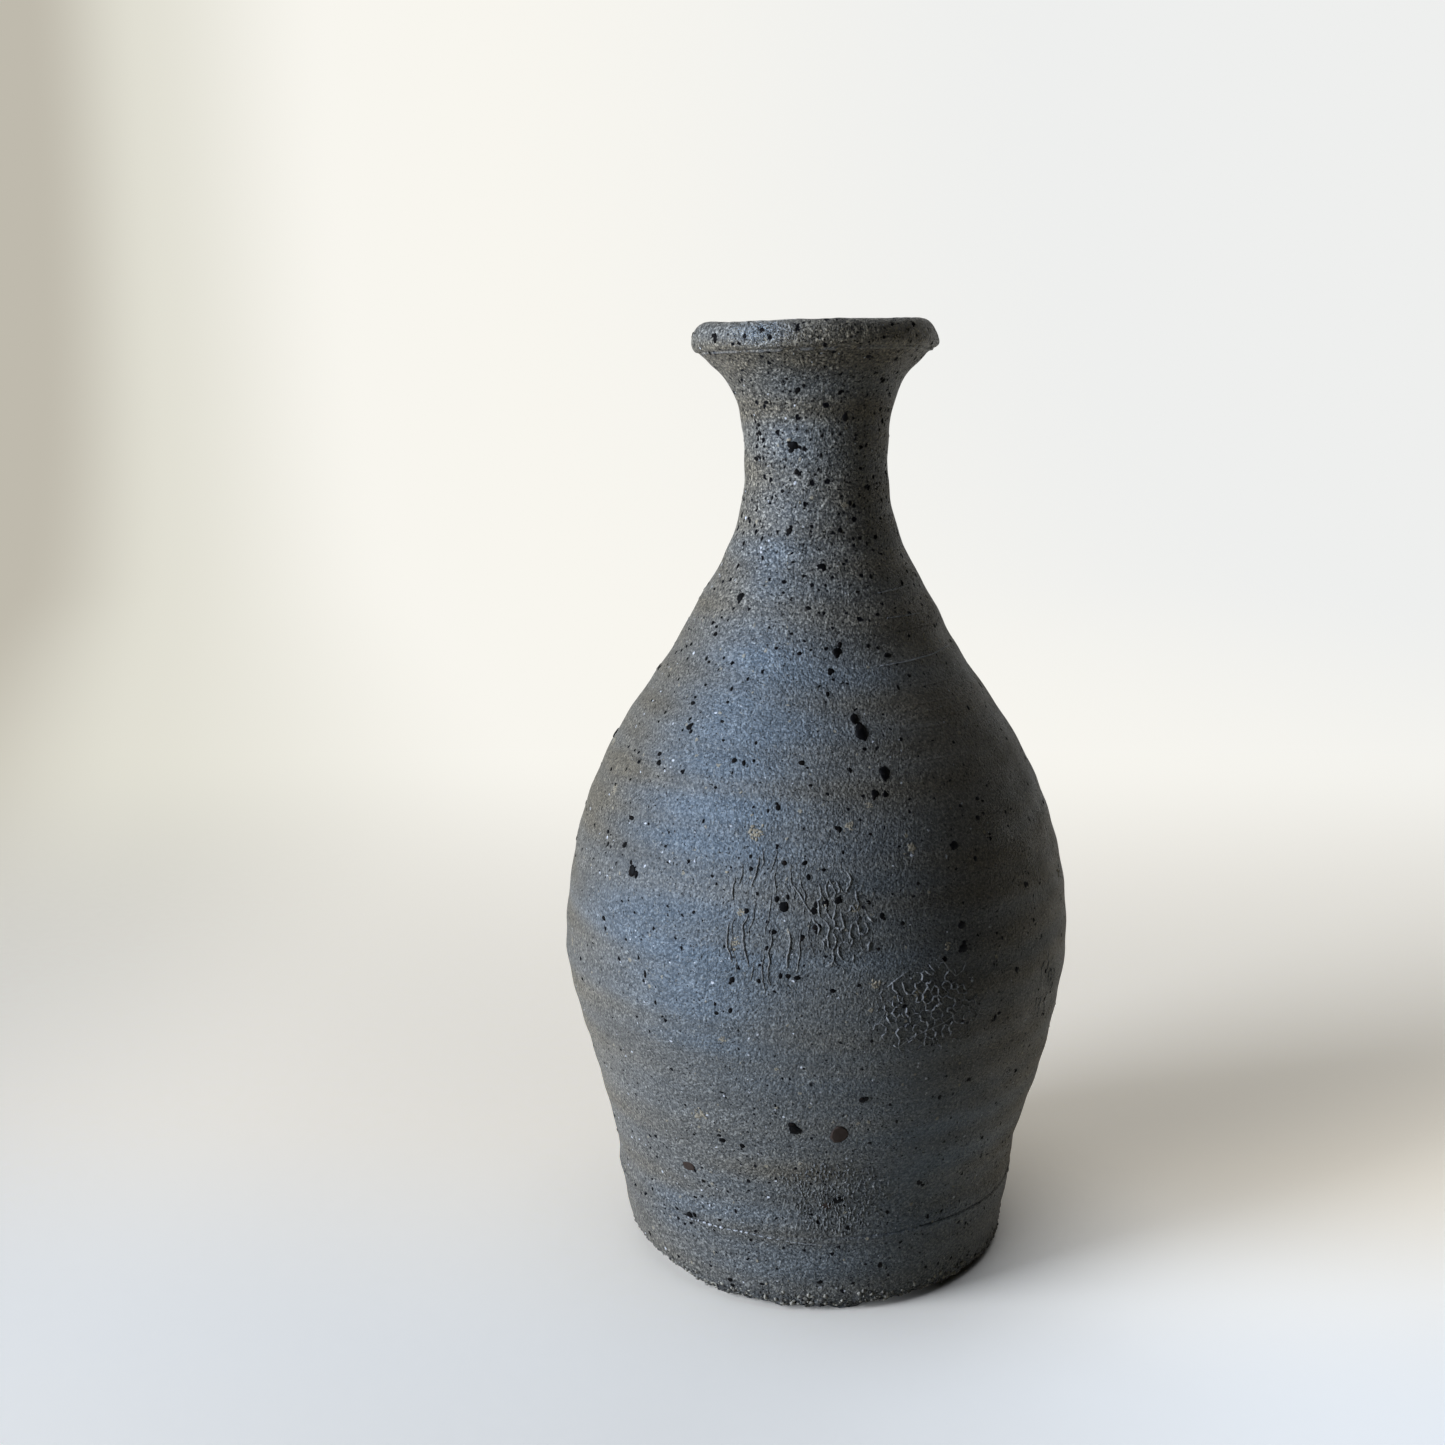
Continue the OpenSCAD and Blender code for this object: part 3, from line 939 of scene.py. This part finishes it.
# Where the slip wrinkled into a net of ridges: angle, height, half width and half height in mm, turn of the net in
# degrees, width and height of its cells in mm, share of the ridges kept along and across the cells, width and height of
# a ridge in mm, and how pale its crest is, partly wear and partly painted highlight
NETS = (
    (5, 66.0, 5.5, 7.5, 14, 1.2, 2.4, 0.80, 0.35, 0.46, 0.26, 0.12),
    (24, 52.0, 9.5, 7.5, 35, 1.3, 1.6, 0.90, 0.75, 0.38, 0.25, 0.42),
    (60, 50.0, 4.0, 6.5, 0, 1.4, 2.2, 0.45, 0.30, 0.30, 0.12, 0.10),
    (5, 20.5, 11.0, 7.5, 6, 0.62, 1.05, 0.62, 0.20, 0.36, 0.20, 0.12),
)
# Where it was combed into long wavy lines: angle, height, half width and half height in mm, distance between lines in
# mm, and then the same three values of a ridge
COMBINGS = ((-11, 65.5, 7.0, 10.0, 1.5, 0.46, 0.26, 0.15),)
WRINKLE_SEED = 41
# Single lines drawn in the slip: width and height in mm, how pale, and their places in the picture. Their paleness
# is partly wear and partly painted highlight, and the palest, the beads along the tool line at the foot, are painted
# highlight.
STROKES = (
    (0.60, 0.30, 1.0, ((688, 1217), (694, 1220), (700, 1221))),
    (0.60, 0.30, 1.0, ((703, 1222), (712, 1225), (724, 1228))),
    (0.52, 0.24, 0.9, ((727, 1229), (738, 1231), (749, 1233))),
    (0.40, 0.16, 0.6, ((752, 1234), (764, 1237), (782, 1240))),
    (0.28, 0.10, 0.3, ((786, 1241), (805, 1244), (830, 1246))),
    (0.30, 0.12, 0.55, ((878, 593), (893, 590), (908, 585))),
    (0.28, 0.10, 0.5, ((887, 618), (904, 616), (919, 613))),
    (0.32, 0.12, 0.58, ((880, 666), (905, 662), (933, 654), (949, 645))),
    (0.34, 0.10, 0.4, ((900, 1046), (914, 1036), (930, 1029), (945, 1022), (961, 1010))),
    (0.30, 0.10, 0.4, ((942, 959), (948, 968), (956, 976), (963, 970), (966, 962))),
    (0.32, 0.12, 0.4, ((887, 987), (896, 980), (908, 971))),
    (0.46, 0.22, 0.1, ((791, 883), (799, 893), (806, 906), (812, 914))),
)
STROKE_STEPS = 6
# A ridge's corners: across in half widths, and height
RIDGE_PROFILE = ((-1.0, -0.5), (-0.6, 0.5), (0.0, 1.0), (0.6, 0.5), (1.0, -0.5))
RIDGE_STEP = 0.35
# How combed lines vary, in mm: start, length, gap, fewest steps, and sways as reach, size and seed
COMB_SHIFT = 0.3
COMB_START = (0, 3)
COMB_LONG = (3, 9)
COMB_GAP = (0.5, 5)
COMB_LEAST = 5
COMB_SWAYS = ((1.5, 7, 11), (0.5, 1.9, 12), (0.2, 0.8, 13))
# How nets vary: shift of the seeds in cells, ragged edge of the patch, bow and overlap of a side in its length, shake
# in mm
NET_SHIFT = 0.45
NET_EDGE = (0.65, 1)
NET_BOW = 0.14
NET_OVERLAP = 0.04
NET_SHAKE = 0.05
# How far ridges and beads vary in size
RIDGE_STAND = (0.4, 1.15)
BEAD_STAND = (0.6, 1.1)
# How thick a ridge stays at its ends
WRINKLE_ENDS = 0.4
STROKE_ENDS = 0.3
# Lines at least as pale as this are rows of beads, each so many steps long
BEADED = 0.6
BEAD_STEPS = 4
# What the clay's material reads on a ridge
RIDGE_WASH = 0.5
RIDGE_SPECKLE = 0.4

# Iron spots that show at the front: place in the picture, and diameter in mm
IRON_SEEN = (
    (793, 445, 1.5), (845, 417, 1.2), (798, 390, 1.0), (756, 459, 1.0), (866, 487, 0.8), (850, 503, 0.9),
    (789, 531, 1.2), (821, 566, 1.2), (840, 530, 0.9), (740, 597, 1.3), (715, 634, 0.9), (836, 652, 1.5),
    (831, 671, 1.1), (888, 655, 1.2), (693, 703, 0.9), (689, 727, 1.1), (861, 731, 2.5), (659, 762, 1.0),
    (884, 771, 1.9), (875, 794, 1.3), (632, 872, 1.7), (955, 845, 1.4), (850, 770, 0.8), (795, 1130, 1.7),
    (742, 1146, 1.0), (722, 1140, 1.1), (862, 1100, 1.2), (838, 1200, 1.5), (690, 1216, 1.4), (715, 338, 1.2),
    (825, 345, 0.9), (768, 352, 0.9), (777, 899, 0.9), (784, 907, 1.5), (788, 897, 0.7), (814, 911, 1.1),
    (816, 904, 1.0), (826, 903, 1.2), (838, 900, 1.0), (746, 911, 0.9), (802, 938, 1.0), (773, 932, 0.9),
    (767, 948, 0.8), (817, 927, 1.2), (784, 863, 0.8), (805, 863, 0.8), (751, 869, 0.9), (759, 981, 0.8),
    (780, 976, 0.8), (788, 976, 0.8), (797, 978, 0.8), (833, 991, 0.8), (732, 980, 1.0), (730, 1011, 0.9),
    (882, 916, 1.0), (962, 925, 1.2), (963, 948, 1.4), (659, 668, 1.1), (949, 631, 0.9), (645, 974, 0.9),
    (603, 755, 0.9), (575, 850, 1.0), (1033, 768, 1.0), (1002, 1202, 1.0), (820, 1282, 0.9), (880, 1265, 1.0),
)
IRON_SEED = 7
# Spots of these sizes melted into two and into more parts, and none hangs farther than this from the clay
TWO_PARTS = 0.9 * MM
MORE_PARTS = 1.3 * MM
HANGING = 0.2 * MM
# Size of the first part and of the others, how far apart they lie, all in sizes of the spot, and how flat they are
FIRST_PART = 0.95
OTHER_PART = (0.45, 0.7)
PARTS_APART = 0.33
IRON_FLAT = (0.16, 0.32)
# Chance spots crowd between these heights and above them, and are smaller where the picture shows its own
IRON_CROWD = (60 * MM, 90 * MM)
IRON_SPARSE = 0.35
FRONT_SMALLER = 0.3
# Flat brown stains where iron bled out, given in the same way as the spots
STAINS_SEEN = ((840, 1134, 2.8), (689, 1166, 2.5), (828, 1206, 1.6))
STAIN_FLAT = 0.05
# Grog that shows at the front, and single pale chips, partly painted glints, given in the same way
GROG_SEEN = (
    (757, 832, 2.6), (911, 848, 2.2), (850, 825, 1.8), (700, 1115, 2.8), (615, 790, 2.0), (875, 985, 2.2),
    (741, 912, 1.4), (722, 1040, 1.6), (948, 946, 1.4), (855, 908, 1.8),
)
CHIPS_AND_GLINTS_SEEN = ((789, 440, 0.7), (727, 872, 0.45), (825, 905, 0.5))
GROG_SEED = 19
GROG_LOW = 14 * MM
# Diameter of a lump of grog in mm, how many crumbs it has, their size and spread in sizes of the lump, and how flat
# they are
GROG_SIZE = (0.8, 2.2)
CRUMBS = (20, 34)
CRUMB_SIZE = (0.08, 0.22)
CRUMBS_APART = 0.2
CRUMB_FLAT = 0.45
CHIP_FLAT = 0.6
GRIT_SEED = 23
GRIT_BAND = (0.3 * MM, 3.4 * MM)
GRIT_FLAT = (0.5, 0.9)
# A grain's rings, from its top to its root: reach and height
LUMP_RINGS = ((0.5, 0.82), (0.82, 0.45), (1.0, 0.0), (0.7, -0.5))
LUMP_SIDES = 9
LUMP_ROOT = -0.6
# How far grains vary in outline, in length against width, and from ring to ring
LUMP_WOBBLE = 0.3
LUMP_STRETCH = (0.75, 1.3)
LUMP_ROUGH = 0.12


def eye_turn():
    """The camera's turn, as right, up and back in the columns of a matrix."""
    turn = Matrix.Rotation(math.radians(-EYE_TURN), 3, "Z") @ Matrix.Rotation(math.radians(90 - EYE_DOWN), 3, "X")
    return turn @ Matrix.Rotation(math.radians(EYE_ROLL), 3, "Z")


def seen_from(pixel):
    """Direction from the eye through a place in the picture."""
    right, up, back = eye_turn().transposed()
    across, down = (pixel[0] - PHOTO_SIDE / 2) / FOCAL_PIXELS, (pixel[1] - PHOTO_SIDE / 2) / FOCAL_PIXELS
    return (right * across - up * down - back).normalized()


def clay_walls():
    """The clay pieces by name, each as a tree that rays can be cast on."""
    made = bpy.context.evaluated_depsgraph_get()
    return {node: BVHTree.FromObject(bpy.data.objects["clay_" + node], made) for node in CLAY_NODES}


def touch(walls, start, direction):
    """Name, place and normal of the first clay that a ray meets, or None."""
    hits = []
    for node, wall in walls.items():
        place, normal, _, distance = wall.ray_cast(start, direction)
        if place:
            hits.append((distance, node, place, normal))
    return min(hits, key=lambda hit: hit[0])[1:] if hits else None


def touch_inward(walls, bearing, height):
    """The same for a level ray towards the axis, from a bearing in radians."""
    out = Vector((math.sin(bearing), -math.cos(bearing), 0))
    return touch(walls, out * 2 * WIDEST + Vector((0, 0, height)), -out)


def lump(place, normal, size, flat, draw):
    """Corners and faces of one irregular grain, sunk to its waist in the clay."""
    turn = normal.to_track_quat("Z", "Y").to_matrix()
    wobble = 1 + LUMP_WOBBLE * draw.uniform(-1, 1, LUMP_SIDES)
    wobble = (wobble + np.roll(wobble, 1)) / 2
    stretch = draw.uniform(*LUMP_STRETCH)
    spin = draw.uniform(0, 2 * math.pi)
    angle = spin + np.arange(LUMP_SIDES) * 2 * math.pi / LUMP_SIDES
    rings = []
    for reach, rise_up in LUMP_RINGS:
        radius = size / 2 * reach * wobble * (1 + LUMP_ROUGH * draw.uniform(-1, 1, LUMP_SIDES))
        level = np.full(LUMP_SIDES, rise_up * flat * size / 2)
        rings.append(np.c_[radius * np.cos(angle) * stretch, radius * np.sin(angle) / stretch, level])
    corners = np.vstack((*rings, [(0, 0, flat * size / 2)], [(0, 0, LUMP_ROOT * flat * size / 2)]))
    corners = corners @ np.array(turn).T + np.array(place)
    faces, top, bottom = [], len(corners) - 2, len(corners) - 1
    for j in range(LUMP_SIDES):
        k = (j + 1) % LUMP_SIDES
        faces.append((j, k, top))
        for ring in range(len(LUMP_RINGS) - 1):
            a, b = ring * LUMP_SIDES, (ring + 1) * LUMP_SIDES
            faces.append((b + j, b + k, a + k, a + j))
        last = (len(LUMP_RINGS) - 1) * LUMP_SIDES
        faces.append((last + k, last + j, bottom))
    return corners, faces


def sideways(draw, spread, normal):
    """A chance shift along the surface."""
    shift = Vector(draw.normal(0, spread, 3))
    return shift - normal * shift.dot(normal)


def set_grains(name, made, field, material, **others):
    """Puts many small grains or ridges in place as one piece. Each is given as corners, faces, and one or more values
    of a field, and the other fields have one value all over."""
    if not made:
        return
    verts, faces, values = [], [], []
    for corners, grain_faces, value in made:
        faces += [tuple(i + len(verts) for i in face) for face in grain_faces]
        verts += corners.tolist()
        values += np.broadcast_to(value, len(corners)).tolist()
    fields = {other: np.full(len(verts), value) for other, value in others.items()}
    in_place(new_piece(name, verts, faces, {field: values, **fields}), material, "stoneware")


def seen_places(walls, rows):
    """Places on the clay with sizes in metres, from rows of a place in the picture and a diameter in mm."""
    found = ((touch(walls, EYE, seen_from(row)), row[2] * MM) for row in rows)
    return [(hit, size) for hit, size in found if hit]


def strewn_places(walls, count, seed, low, high, crowd=lambda z: 1):
    """Places and normals strewn over the clay between two heights, more of them where they crowd."""
    draw = np.random.default_rng(seed)
    found = []
    while len(found) < count:
        bearing, height, luck = draw.uniform(0, 2 * math.pi), draw.uniform(low, high), draw.uniform()
        hit = touch_inward(walls, bearing, height)
        if hit and luck < math.hypot(hit[1].x, hit[1].y) / WIDEST * crowd(height):
            found.append(hit)
    return found


def combed_lines(draw, wide, tall, pitch):
    """Long wavy lines as points in mm from the middle of their patch. They sway together, and break off here and
    there."""
    for start in np.arange(-wide, wide, pitch):
        edge = tall * math.sqrt(1 - (start / wide) ** 2)
        start += draw.uniform(-COMB_SHIFT, COMB_SHIFT) * pitch
        low = -edge + draw.uniform(*COMB_START)
        while low < edge:
            high = low + draw.uniform(*COMB_LONG)
            up = np.arange(low, min(high, edge), RIDGE_STEP)
            spots = np.c_[np.full(len(up), start), up, 0 * up]
            sway = sum(reach * lumps(spots, size, seed) for reach, size, seed in COMB_SWAYS)
            if len(up) > COMB_LEAST:
                yield np.c_[start + sway, up]
            low = high + draw.uniform(*COMB_GAP)


def net_lines(draw, wide, tall, turn, cell_wide, cell_tall, along_share, across_share):
    """Lines of a wrinkled net as points in mm from the middle of its patch: the sides of cells round strewn seeds."""
    cell = cell_wide, cell_tall
    across, up = (int(math.hypot(wide, tall) / side) + 2 for side in cell)
    seeds = np.stack(np.meshgrid(np.arange(-across, across + 1), np.arange(-up, up + 1)), axis=-1).reshape(-1, 2)
    seeds = seeds + draw.uniform(-NET_SHIFT, NET_SHIFT, seeds.shape) + np.c_[0.5 * (seeds[:, 1] % 2), 0 * seeds[:, 1]]
    corners, _, faces = delaunay_2d_cdt([Vector(s) for s in seeds], [], [], 0, WELD)[:3]
    middles = [sum((corners[i] for i in face), Vector((0, 0))) / 3 for face in faces]
    beside = {}
    for number, face in enumerate(faces):
        for a, b in zip(face, (*face[1:], face[0])):
            beside.setdefault((min(a, b), max(a, b)), []).append(number)
    bearing = math.radians(turn)
    spin = np.array([(math.cos(bearing), math.sin(bearing)), (-math.sin(bearing), math.cos(bearing))])
    for pair in sorted(beside.values()):
        luck, reach = draw.uniform(), draw.uniform(*NET_EDGE)
        if len(pair) < 2:
            continue
        start, end = (np.array(middles[i]) * cell for i in pair)
        run = end - start
        count = max(3, int(np.linalg.norm(run) / RIDGE_STEP) + 1)
        side = np.array((-run[1], run[0])) * draw.normal(0, NET_BOW)
        along = np.linspace(-NET_OVERLAP, 1 + NET_OVERLAP, count)[:, None]
        line = (start + along * run + np.sin(np.pi * along) * side) @ spin
        line += draw.normal(0, NET_SHAKE, line.shape)
        middle = line.mean(axis=0) / (wide, tall)
        if np.hypot(*middle) < reach and luck < (along_share if abs(run[1]) > abs(run[0]) else across_share):
            yield line


def ridge(hits, width, height, pale, ends):
    """Corners, faces and paleness of one closed ridge along places on the clay. The paleness is highest at the crest,
    partly wear and partly painted highlight. Ends is how thick its ends stay.
    """
    place, normal = (np.array([hit[i] for hit in hits]) for i in (1, 2))
    course = np.gradient(place, axis=0)
    side = np.cross(normal, course)
    side /= np.linalg.norm(side, axis=1)[:, None]
    swell = ends + (1 - ends) * np.sin(np.linspace(0.05, 0.95, len(hits)) * np.pi)
    profile = np.array(RIDGE_PROFILE)
    corners = place[:, None] + swell[:, None, None] * (
        side[:, None] * (profile[:, 0] * width / 2)[:, None] + normal[:, None] * (profile[:, 1] * height)[:, None]
    )
    rows, columns = len(hits), len(profile)
    index = np.arange(rows * columns).reshape(rows, columns)
    over = np.roll(index, -1, axis=1)
    faces = np.stack((index[:-1], index[1:], over[1:], over[:-1]), axis=-1).reshape(-1, 4).tolist()
    faces += [index[0].tolist(), index[-1][::-1].tolist()]
    worn = np.tile(pale * np.clip(profile[:, 1], 0, 1), rows)
    return corners.reshape(-1, 3), faces, worn


class VASE_OT_wrinkle_slip(bpy.types.Operator):
    """Wrinkles the slip on the wall, in patches of fine ridges and in single lines"""

    bl_idname = "vase.wrinkle_slip"
    bl_label = "Wrinkle slip"

    def execute(self, context):
        walls, draw = clay_walls(), np.random.default_rng(WRINKLE_SEED)
        made = {node: [] for node in CLAY_NODES}
        patches = *((net_lines, net) for net in NETS), *((combed_lines, combing) for combing in COMBINGS)
        for lines, (angle, level, *patch, width, height, pale) in patches:
            for line in lines(draw, *patch):
                hits = [
                    touch_inward(walls, math.radians(angle) + u / WIDEST, level * MM + v) for u, v in line * MM
                ]
                stand = draw.uniform(*RIDGE_STAND)
                made[hits[0][0]].append(
                    ridge(hits, width * stand * MM, height * stand * MM, pale * stand, WRINKLE_ENDS)
                )
        for width, height, pale, pixels in STROKES:
            reach = np.linspace(0, len(pixels) - 1, STROKE_STEPS * len(pixels))
            spots = np.c_[[np.interp(reach, np.arange(len(pixels)), np.array(pixels)[:, i]) for i in (0, 1)]].T
            hits = [touch(walls, EYE, seen_from(spot)) for spot in spots]
            beaded = pale >= BEADED
            for part in np.array_split(np.arange(len(hits)), len(hits) // BEAD_STEPS if beaded else 1):
                stand = draw.uniform(*BEAD_STAND) if beaded else 1
                made[hits[0][0]].append(
                    ridge([hits[i] for i in part], width * stand * MM, height * MM, pale * stand, STROKE_ENDS)
                )
        for node, ridges in made.items():
            name = "slip_wrinkles_" + node
            set_grains(name, ridges, "worn", clay_material(), wash=RIDGE_WASH, speckle=RIDGE_SPECKLE)
        return {"FINISHED"}


class VASE_OT_melt_iron_spots(bpy.types.Operator):
    """Melts iron spots out of the clay: those seen at the front, and chance ones all over"""

    bl_idname = "vase.melt_iron_spots"
    bl_label = "Melt iron spots"

    def execute(self, context):
        settings = context.scene.vase_spots
        walls, draw = clay_walls(), np.random.default_rng(IRON_SEED)
        wanted = seen_places(walls, IRON_SEEN)
        strewn = strewn_places(
            walls, settings.iron_count, IRON_SEED, 2 * MM, TOP - 1 * MM,
            lambda z: IRON_SPARSE + (1 - IRON_SPARSE) * rise(z, *IRON_CROWD),
        )
        for hit in strewn:
            # Chance spots stay small where the picture shows its own
            luck = draw.uniform() ** 3 * (FRONT_SMALLER if hit[2].dot(EYE - hit[1]) > 0 else 1)
            wanted.append((hit, settings.iron_small + (settings.iron_large - settings.iron_small) * luck))
        grains = {node: [] for node in CLAY_NODES}
        for (node, place, normal), size in wanted:
            for part in range(1 + int(size > TWO_PARTS) + int(size > MORE_PARTS) * draw.integers(1, 3)):
                share = draw.uniform(*OTHER_PART) if part else FIRST_PART
                spot = place + sideways(draw, PARTS_APART * size if part else 0, normal)
                made = lump(spot, normal, size * share, draw.uniform(*IRON_FLAT), draw)
                # What would hang past the edge of the lip has melted away
                under = touch(walls, spot + normal * size, -normal)
                if under and (under[1] - spot).length < HANGING:
                    grains[node].append((*made, 0.0))
        for (node, place, normal), size in seen_places(walls, STAINS_SEEN):
            grains[node].append((*lump(place, normal, size, STAIN_FLAT, draw), 1.0))
        iron = shared("iron_melted_out_of_the_clay", melted_iron, context.scene.vase_clay)
        for node, made in grains.items():
            set_grains("iron_spots_" + node, made, "tone", iron)
        return {"FINISHED"}


class VASE_OT_bare_grog(bpy.types.Operator):
    """Bares the tan grog that shows through the surface"""

    bl_idname = "vase.bare_grog"
    bl_label = "Bare grog"

    def execute(self, context):
        settings, clay = context.scene.vase_spots, context.scene.vase_clay
        walls, draw = clay_walls(), np.random.default_rng(GROG_SEED)
        wanted = seen_places(walls, GROG_SEEN)
        strewn = strewn_places(walls, settings.grog_count, GROG_SEED, GROG_LOW, CREASE[1])
        wanted += [(hit, draw.uniform(*GROG_SIZE) * MM) for hit in strewn]
        grains = {node: [] for node in CLAY_NODES}
        for (node, place, normal), size in wanted:
            for _ in range(draw.integers(*CRUMBS)):
                spot = place + sideways(draw, CRUMBS_APART * size, normal)
                crumb = size * draw.uniform(*CRUMB_SIZE)
                grains[node].append((*lump(spot, normal, crumb, CRUMB_FLAT, draw), draw.uniform(0.2, 1.0)))
        # Single pale chips, partly painted glints
        for (node, place, normal), size in seen_places(walls, CHIPS_AND_GLINTS_SEEN):
            grains[node].append((*lump(place, normal, size, CHIP_FLAT, draw), 1.0))
        tan = shared("grog_tan_fired", fired_grog, clay.grog, clay.warm)
        for node, made in grains.items():
            set_grains("grog_" + node, made, "tone", tan)
        return {"FINISHED"}


class VASE_OT_press_foot_grit(bpy.types.Operator):
    """Presses the kiln's grit into the torn edge of the foot"""

    bl_idname = "vase.press_foot_grit"
    bl_label = "Press foot grit"

    def execute(self, context):
        settings, clay = context.scene.vase_spots, context.scene.vase_clay
        walls, draw = clay_walls(), np.random.default_rng(GRIT_SEED)
        grains = []
        for _, place, normal in strewn_places(
            walls, settings.grit_count, GRIT_SEED, *GRIT_BAND, lambda z: 1.4 - z / GRIT_BAND[1]
        ):
            size = draw.uniform(settings.grit_small, settings.grit_large)
            if place.z > size:
                grains.append((*lump(place, normal, size, draw.uniform(*GRIT_FLAT), draw), draw.uniform() ** 1.5))
        set_grains("foot_grit", grains, "tone", shared("grit_kiln_sand", fired_grog, clay.pale, clay.dark))
        return {"FINISHED"}


# Stage

SWEEP_WIDTH = 2.4
SWEEP_FRONT = -1.8
SWEEP_BACK = 0.75
SWEEP_BEND = 0.45
SWEEP_TOP = 1.5
FLAT_STEPS = 12
BEND_STEPS = 25
# The window's bearing and height in degrees, its distance, and its width and height
KEY_FROM = (-64, 14)
KEY_AWAY = 0.95
KEY_SIZE = (0.42, 0.8)
# Where the room turns pale behind the vase, and how pale
ROOM_BEHIND = (-0.2, 0.6)
ROOM_SHOWN = 0.95


class VASE_OT_set_stage(bpy.types.Operator):
    """Sets the paper sweep, the window light, the room and the camera"""

    bl_idname = "vase.set_stage"
    bl_label = "Set stage"

    def execute(self, context):
        scene, stage = context.scene, context.scene.vase_stage
        bend = np.radians(np.linspace(0, 90, BEND_STEPS))
        flat = np.linspace(SWEEP_FRONT, SWEEP_BACK, FLAT_STEPS)[:, None] * (1, 0)
        curve = np.c_[SWEEP_BACK + SWEEP_BEND * np.sin(bend), SWEEP_BEND * (1 - np.cos(bend))]
        course = np.vstack((flat, curve[1:], [(SWEEP_BACK + SWEEP_BEND, SWEEP_TOP)]))
        verts = [(x, y, z) for y, z in course for x in (-SWEEP_WIDTH, SWEEP_WIDTH)]
        faces = [(2 * i, 2 * i + 1, 2 * i + 3, 2 * i + 2) for i in range(len(course) - 1)]
        sweep = new_piece("paper_sweep", verts, faces, {})
        sweep.data.materials.append(shared("paper_cotton_uncoated", soft_paper, stage))

        light = bpy.data.lights.new("window", "AREA")
        light.shape, light.size, light.size_y = "RECTANGLE", *KEY_SIZE
        light.energy, light.color = stage.key_power, stage.key_colour
        turn, up = (math.radians(angle) for angle in KEY_FROM)
        out = Vector((math.sin(turn) * math.cos(up), -math.cos(turn) * math.cos(up), math.sin(up)))
        window = bpy.data.objects.new("window", light)
        window.location = out * KEY_AWAY + Vector((0, 0, TOP / 2))
        window.rotation_euler = out.to_track_quat("Z", "Y").to_euler()
        scene.collection.objects.link(window)

        # The room is pale behind the vase and dim in front of it
        world = bpy.data.worlds.new("room")
        add = node_adder(world)
        behind = add("SeparateXYZ", (add("TexCoord")["Generated"],))["Y"]
        behind = add("MapRange", (behind, *ROOM_BEHIND, 0, 1))[0]
        behind = add("Math", (behind, seen_background(add)), operation="MULTIPLY")[0]
        shown = add("Math", (add("LightPath")["Is Camera Ray"], behind), operation="MAXIMUM")[0]
        level = add("MapRange", (shown, 0, 1, stage.room, ROOM_SHOWN))[0]
        add("OutputWorld", {"Surface": add("Background", {"Color": stage.right_paper, "Strength": level})[0]})
        scene.world = world

        view = bpy.data.cameras.new("eye")
        view.sensor_width = SENSOR
        view.lens = SENSOR * FOCAL_PIXELS / PHOTO_SIDE
        view.clip_start = NEAREST
        eye = bpy.data.objects.new("eye", view)
        eye.matrix_world = Matrix.LocRotScale(EYE, eye_turn().to_quaternion(), None)
        scene.collection.objects.link(eye)
        scene.camera = eye
        scene.view_settings.view_transform = "Standard"
        return {"FINISHED"}


class VASE_PT_pieces(bpy.types.Panel):
    """Lists the pieces of the vase, in the order that they are made"""

    bl_idname = "VASE_PT_pieces"
    bl_label = "Bud vase"
    bl_space_type = "VIEW_3D"
    bl_region_type = "UI"
    bl_category = "Vase"

    def draw(self, context):
        for settings in (context.scene.vase_clay, context.scene.vase_spots, context.scene.vase_stage):
            box = self.layout.box()
            for name in settings.__annotations__:
                box.prop(settings, name)
        for piece in PIECES:
            self.layout.operator(piece.bl_idname)


SETTINGS = {"vase_clay": ClaySettings, "vase_spots": SpotSettings, "vase_stage": StageSettings}
PIECES = (
    VASE_OT_throw_foot,
    VASE_OT_throw_body,
    VASE_OT_throw_neck,
    VASE_OT_roll_lip,
    VASE_OT_pour_lining,
    VASE_OT_wrinkle_slip,
    VASE_OT_melt_iron_spots,
    VASE_OT_bare_grog,
    VASE_OT_press_foot_grit,
    VASE_OT_set_stage,
)
CLASSES = (*SETTINGS.values(), *PIECES, VASE_PT_pieces)


def register():
    for kind in CLASSES:
        bpy.utils.register_class(kind)
    for name, kind in SETTINGS.items():
        setattr(bpy.types.Scene, name, PointerProperty(type=kind))


def unregister():
    for name in SETTINGS:
        delattr(bpy.types.Scene, name)
    for kind in reversed(CLASSES):
        bpy.utils.unregister_class(kind)


def main():
    """Makes every piece in order."""
    register()
    for piece in PIECES:
        group, name = piece.bl_idname.split(".")
        getattr(getattr(bpy.ops, group), name)()


if __name__ == "__main__":
    main()
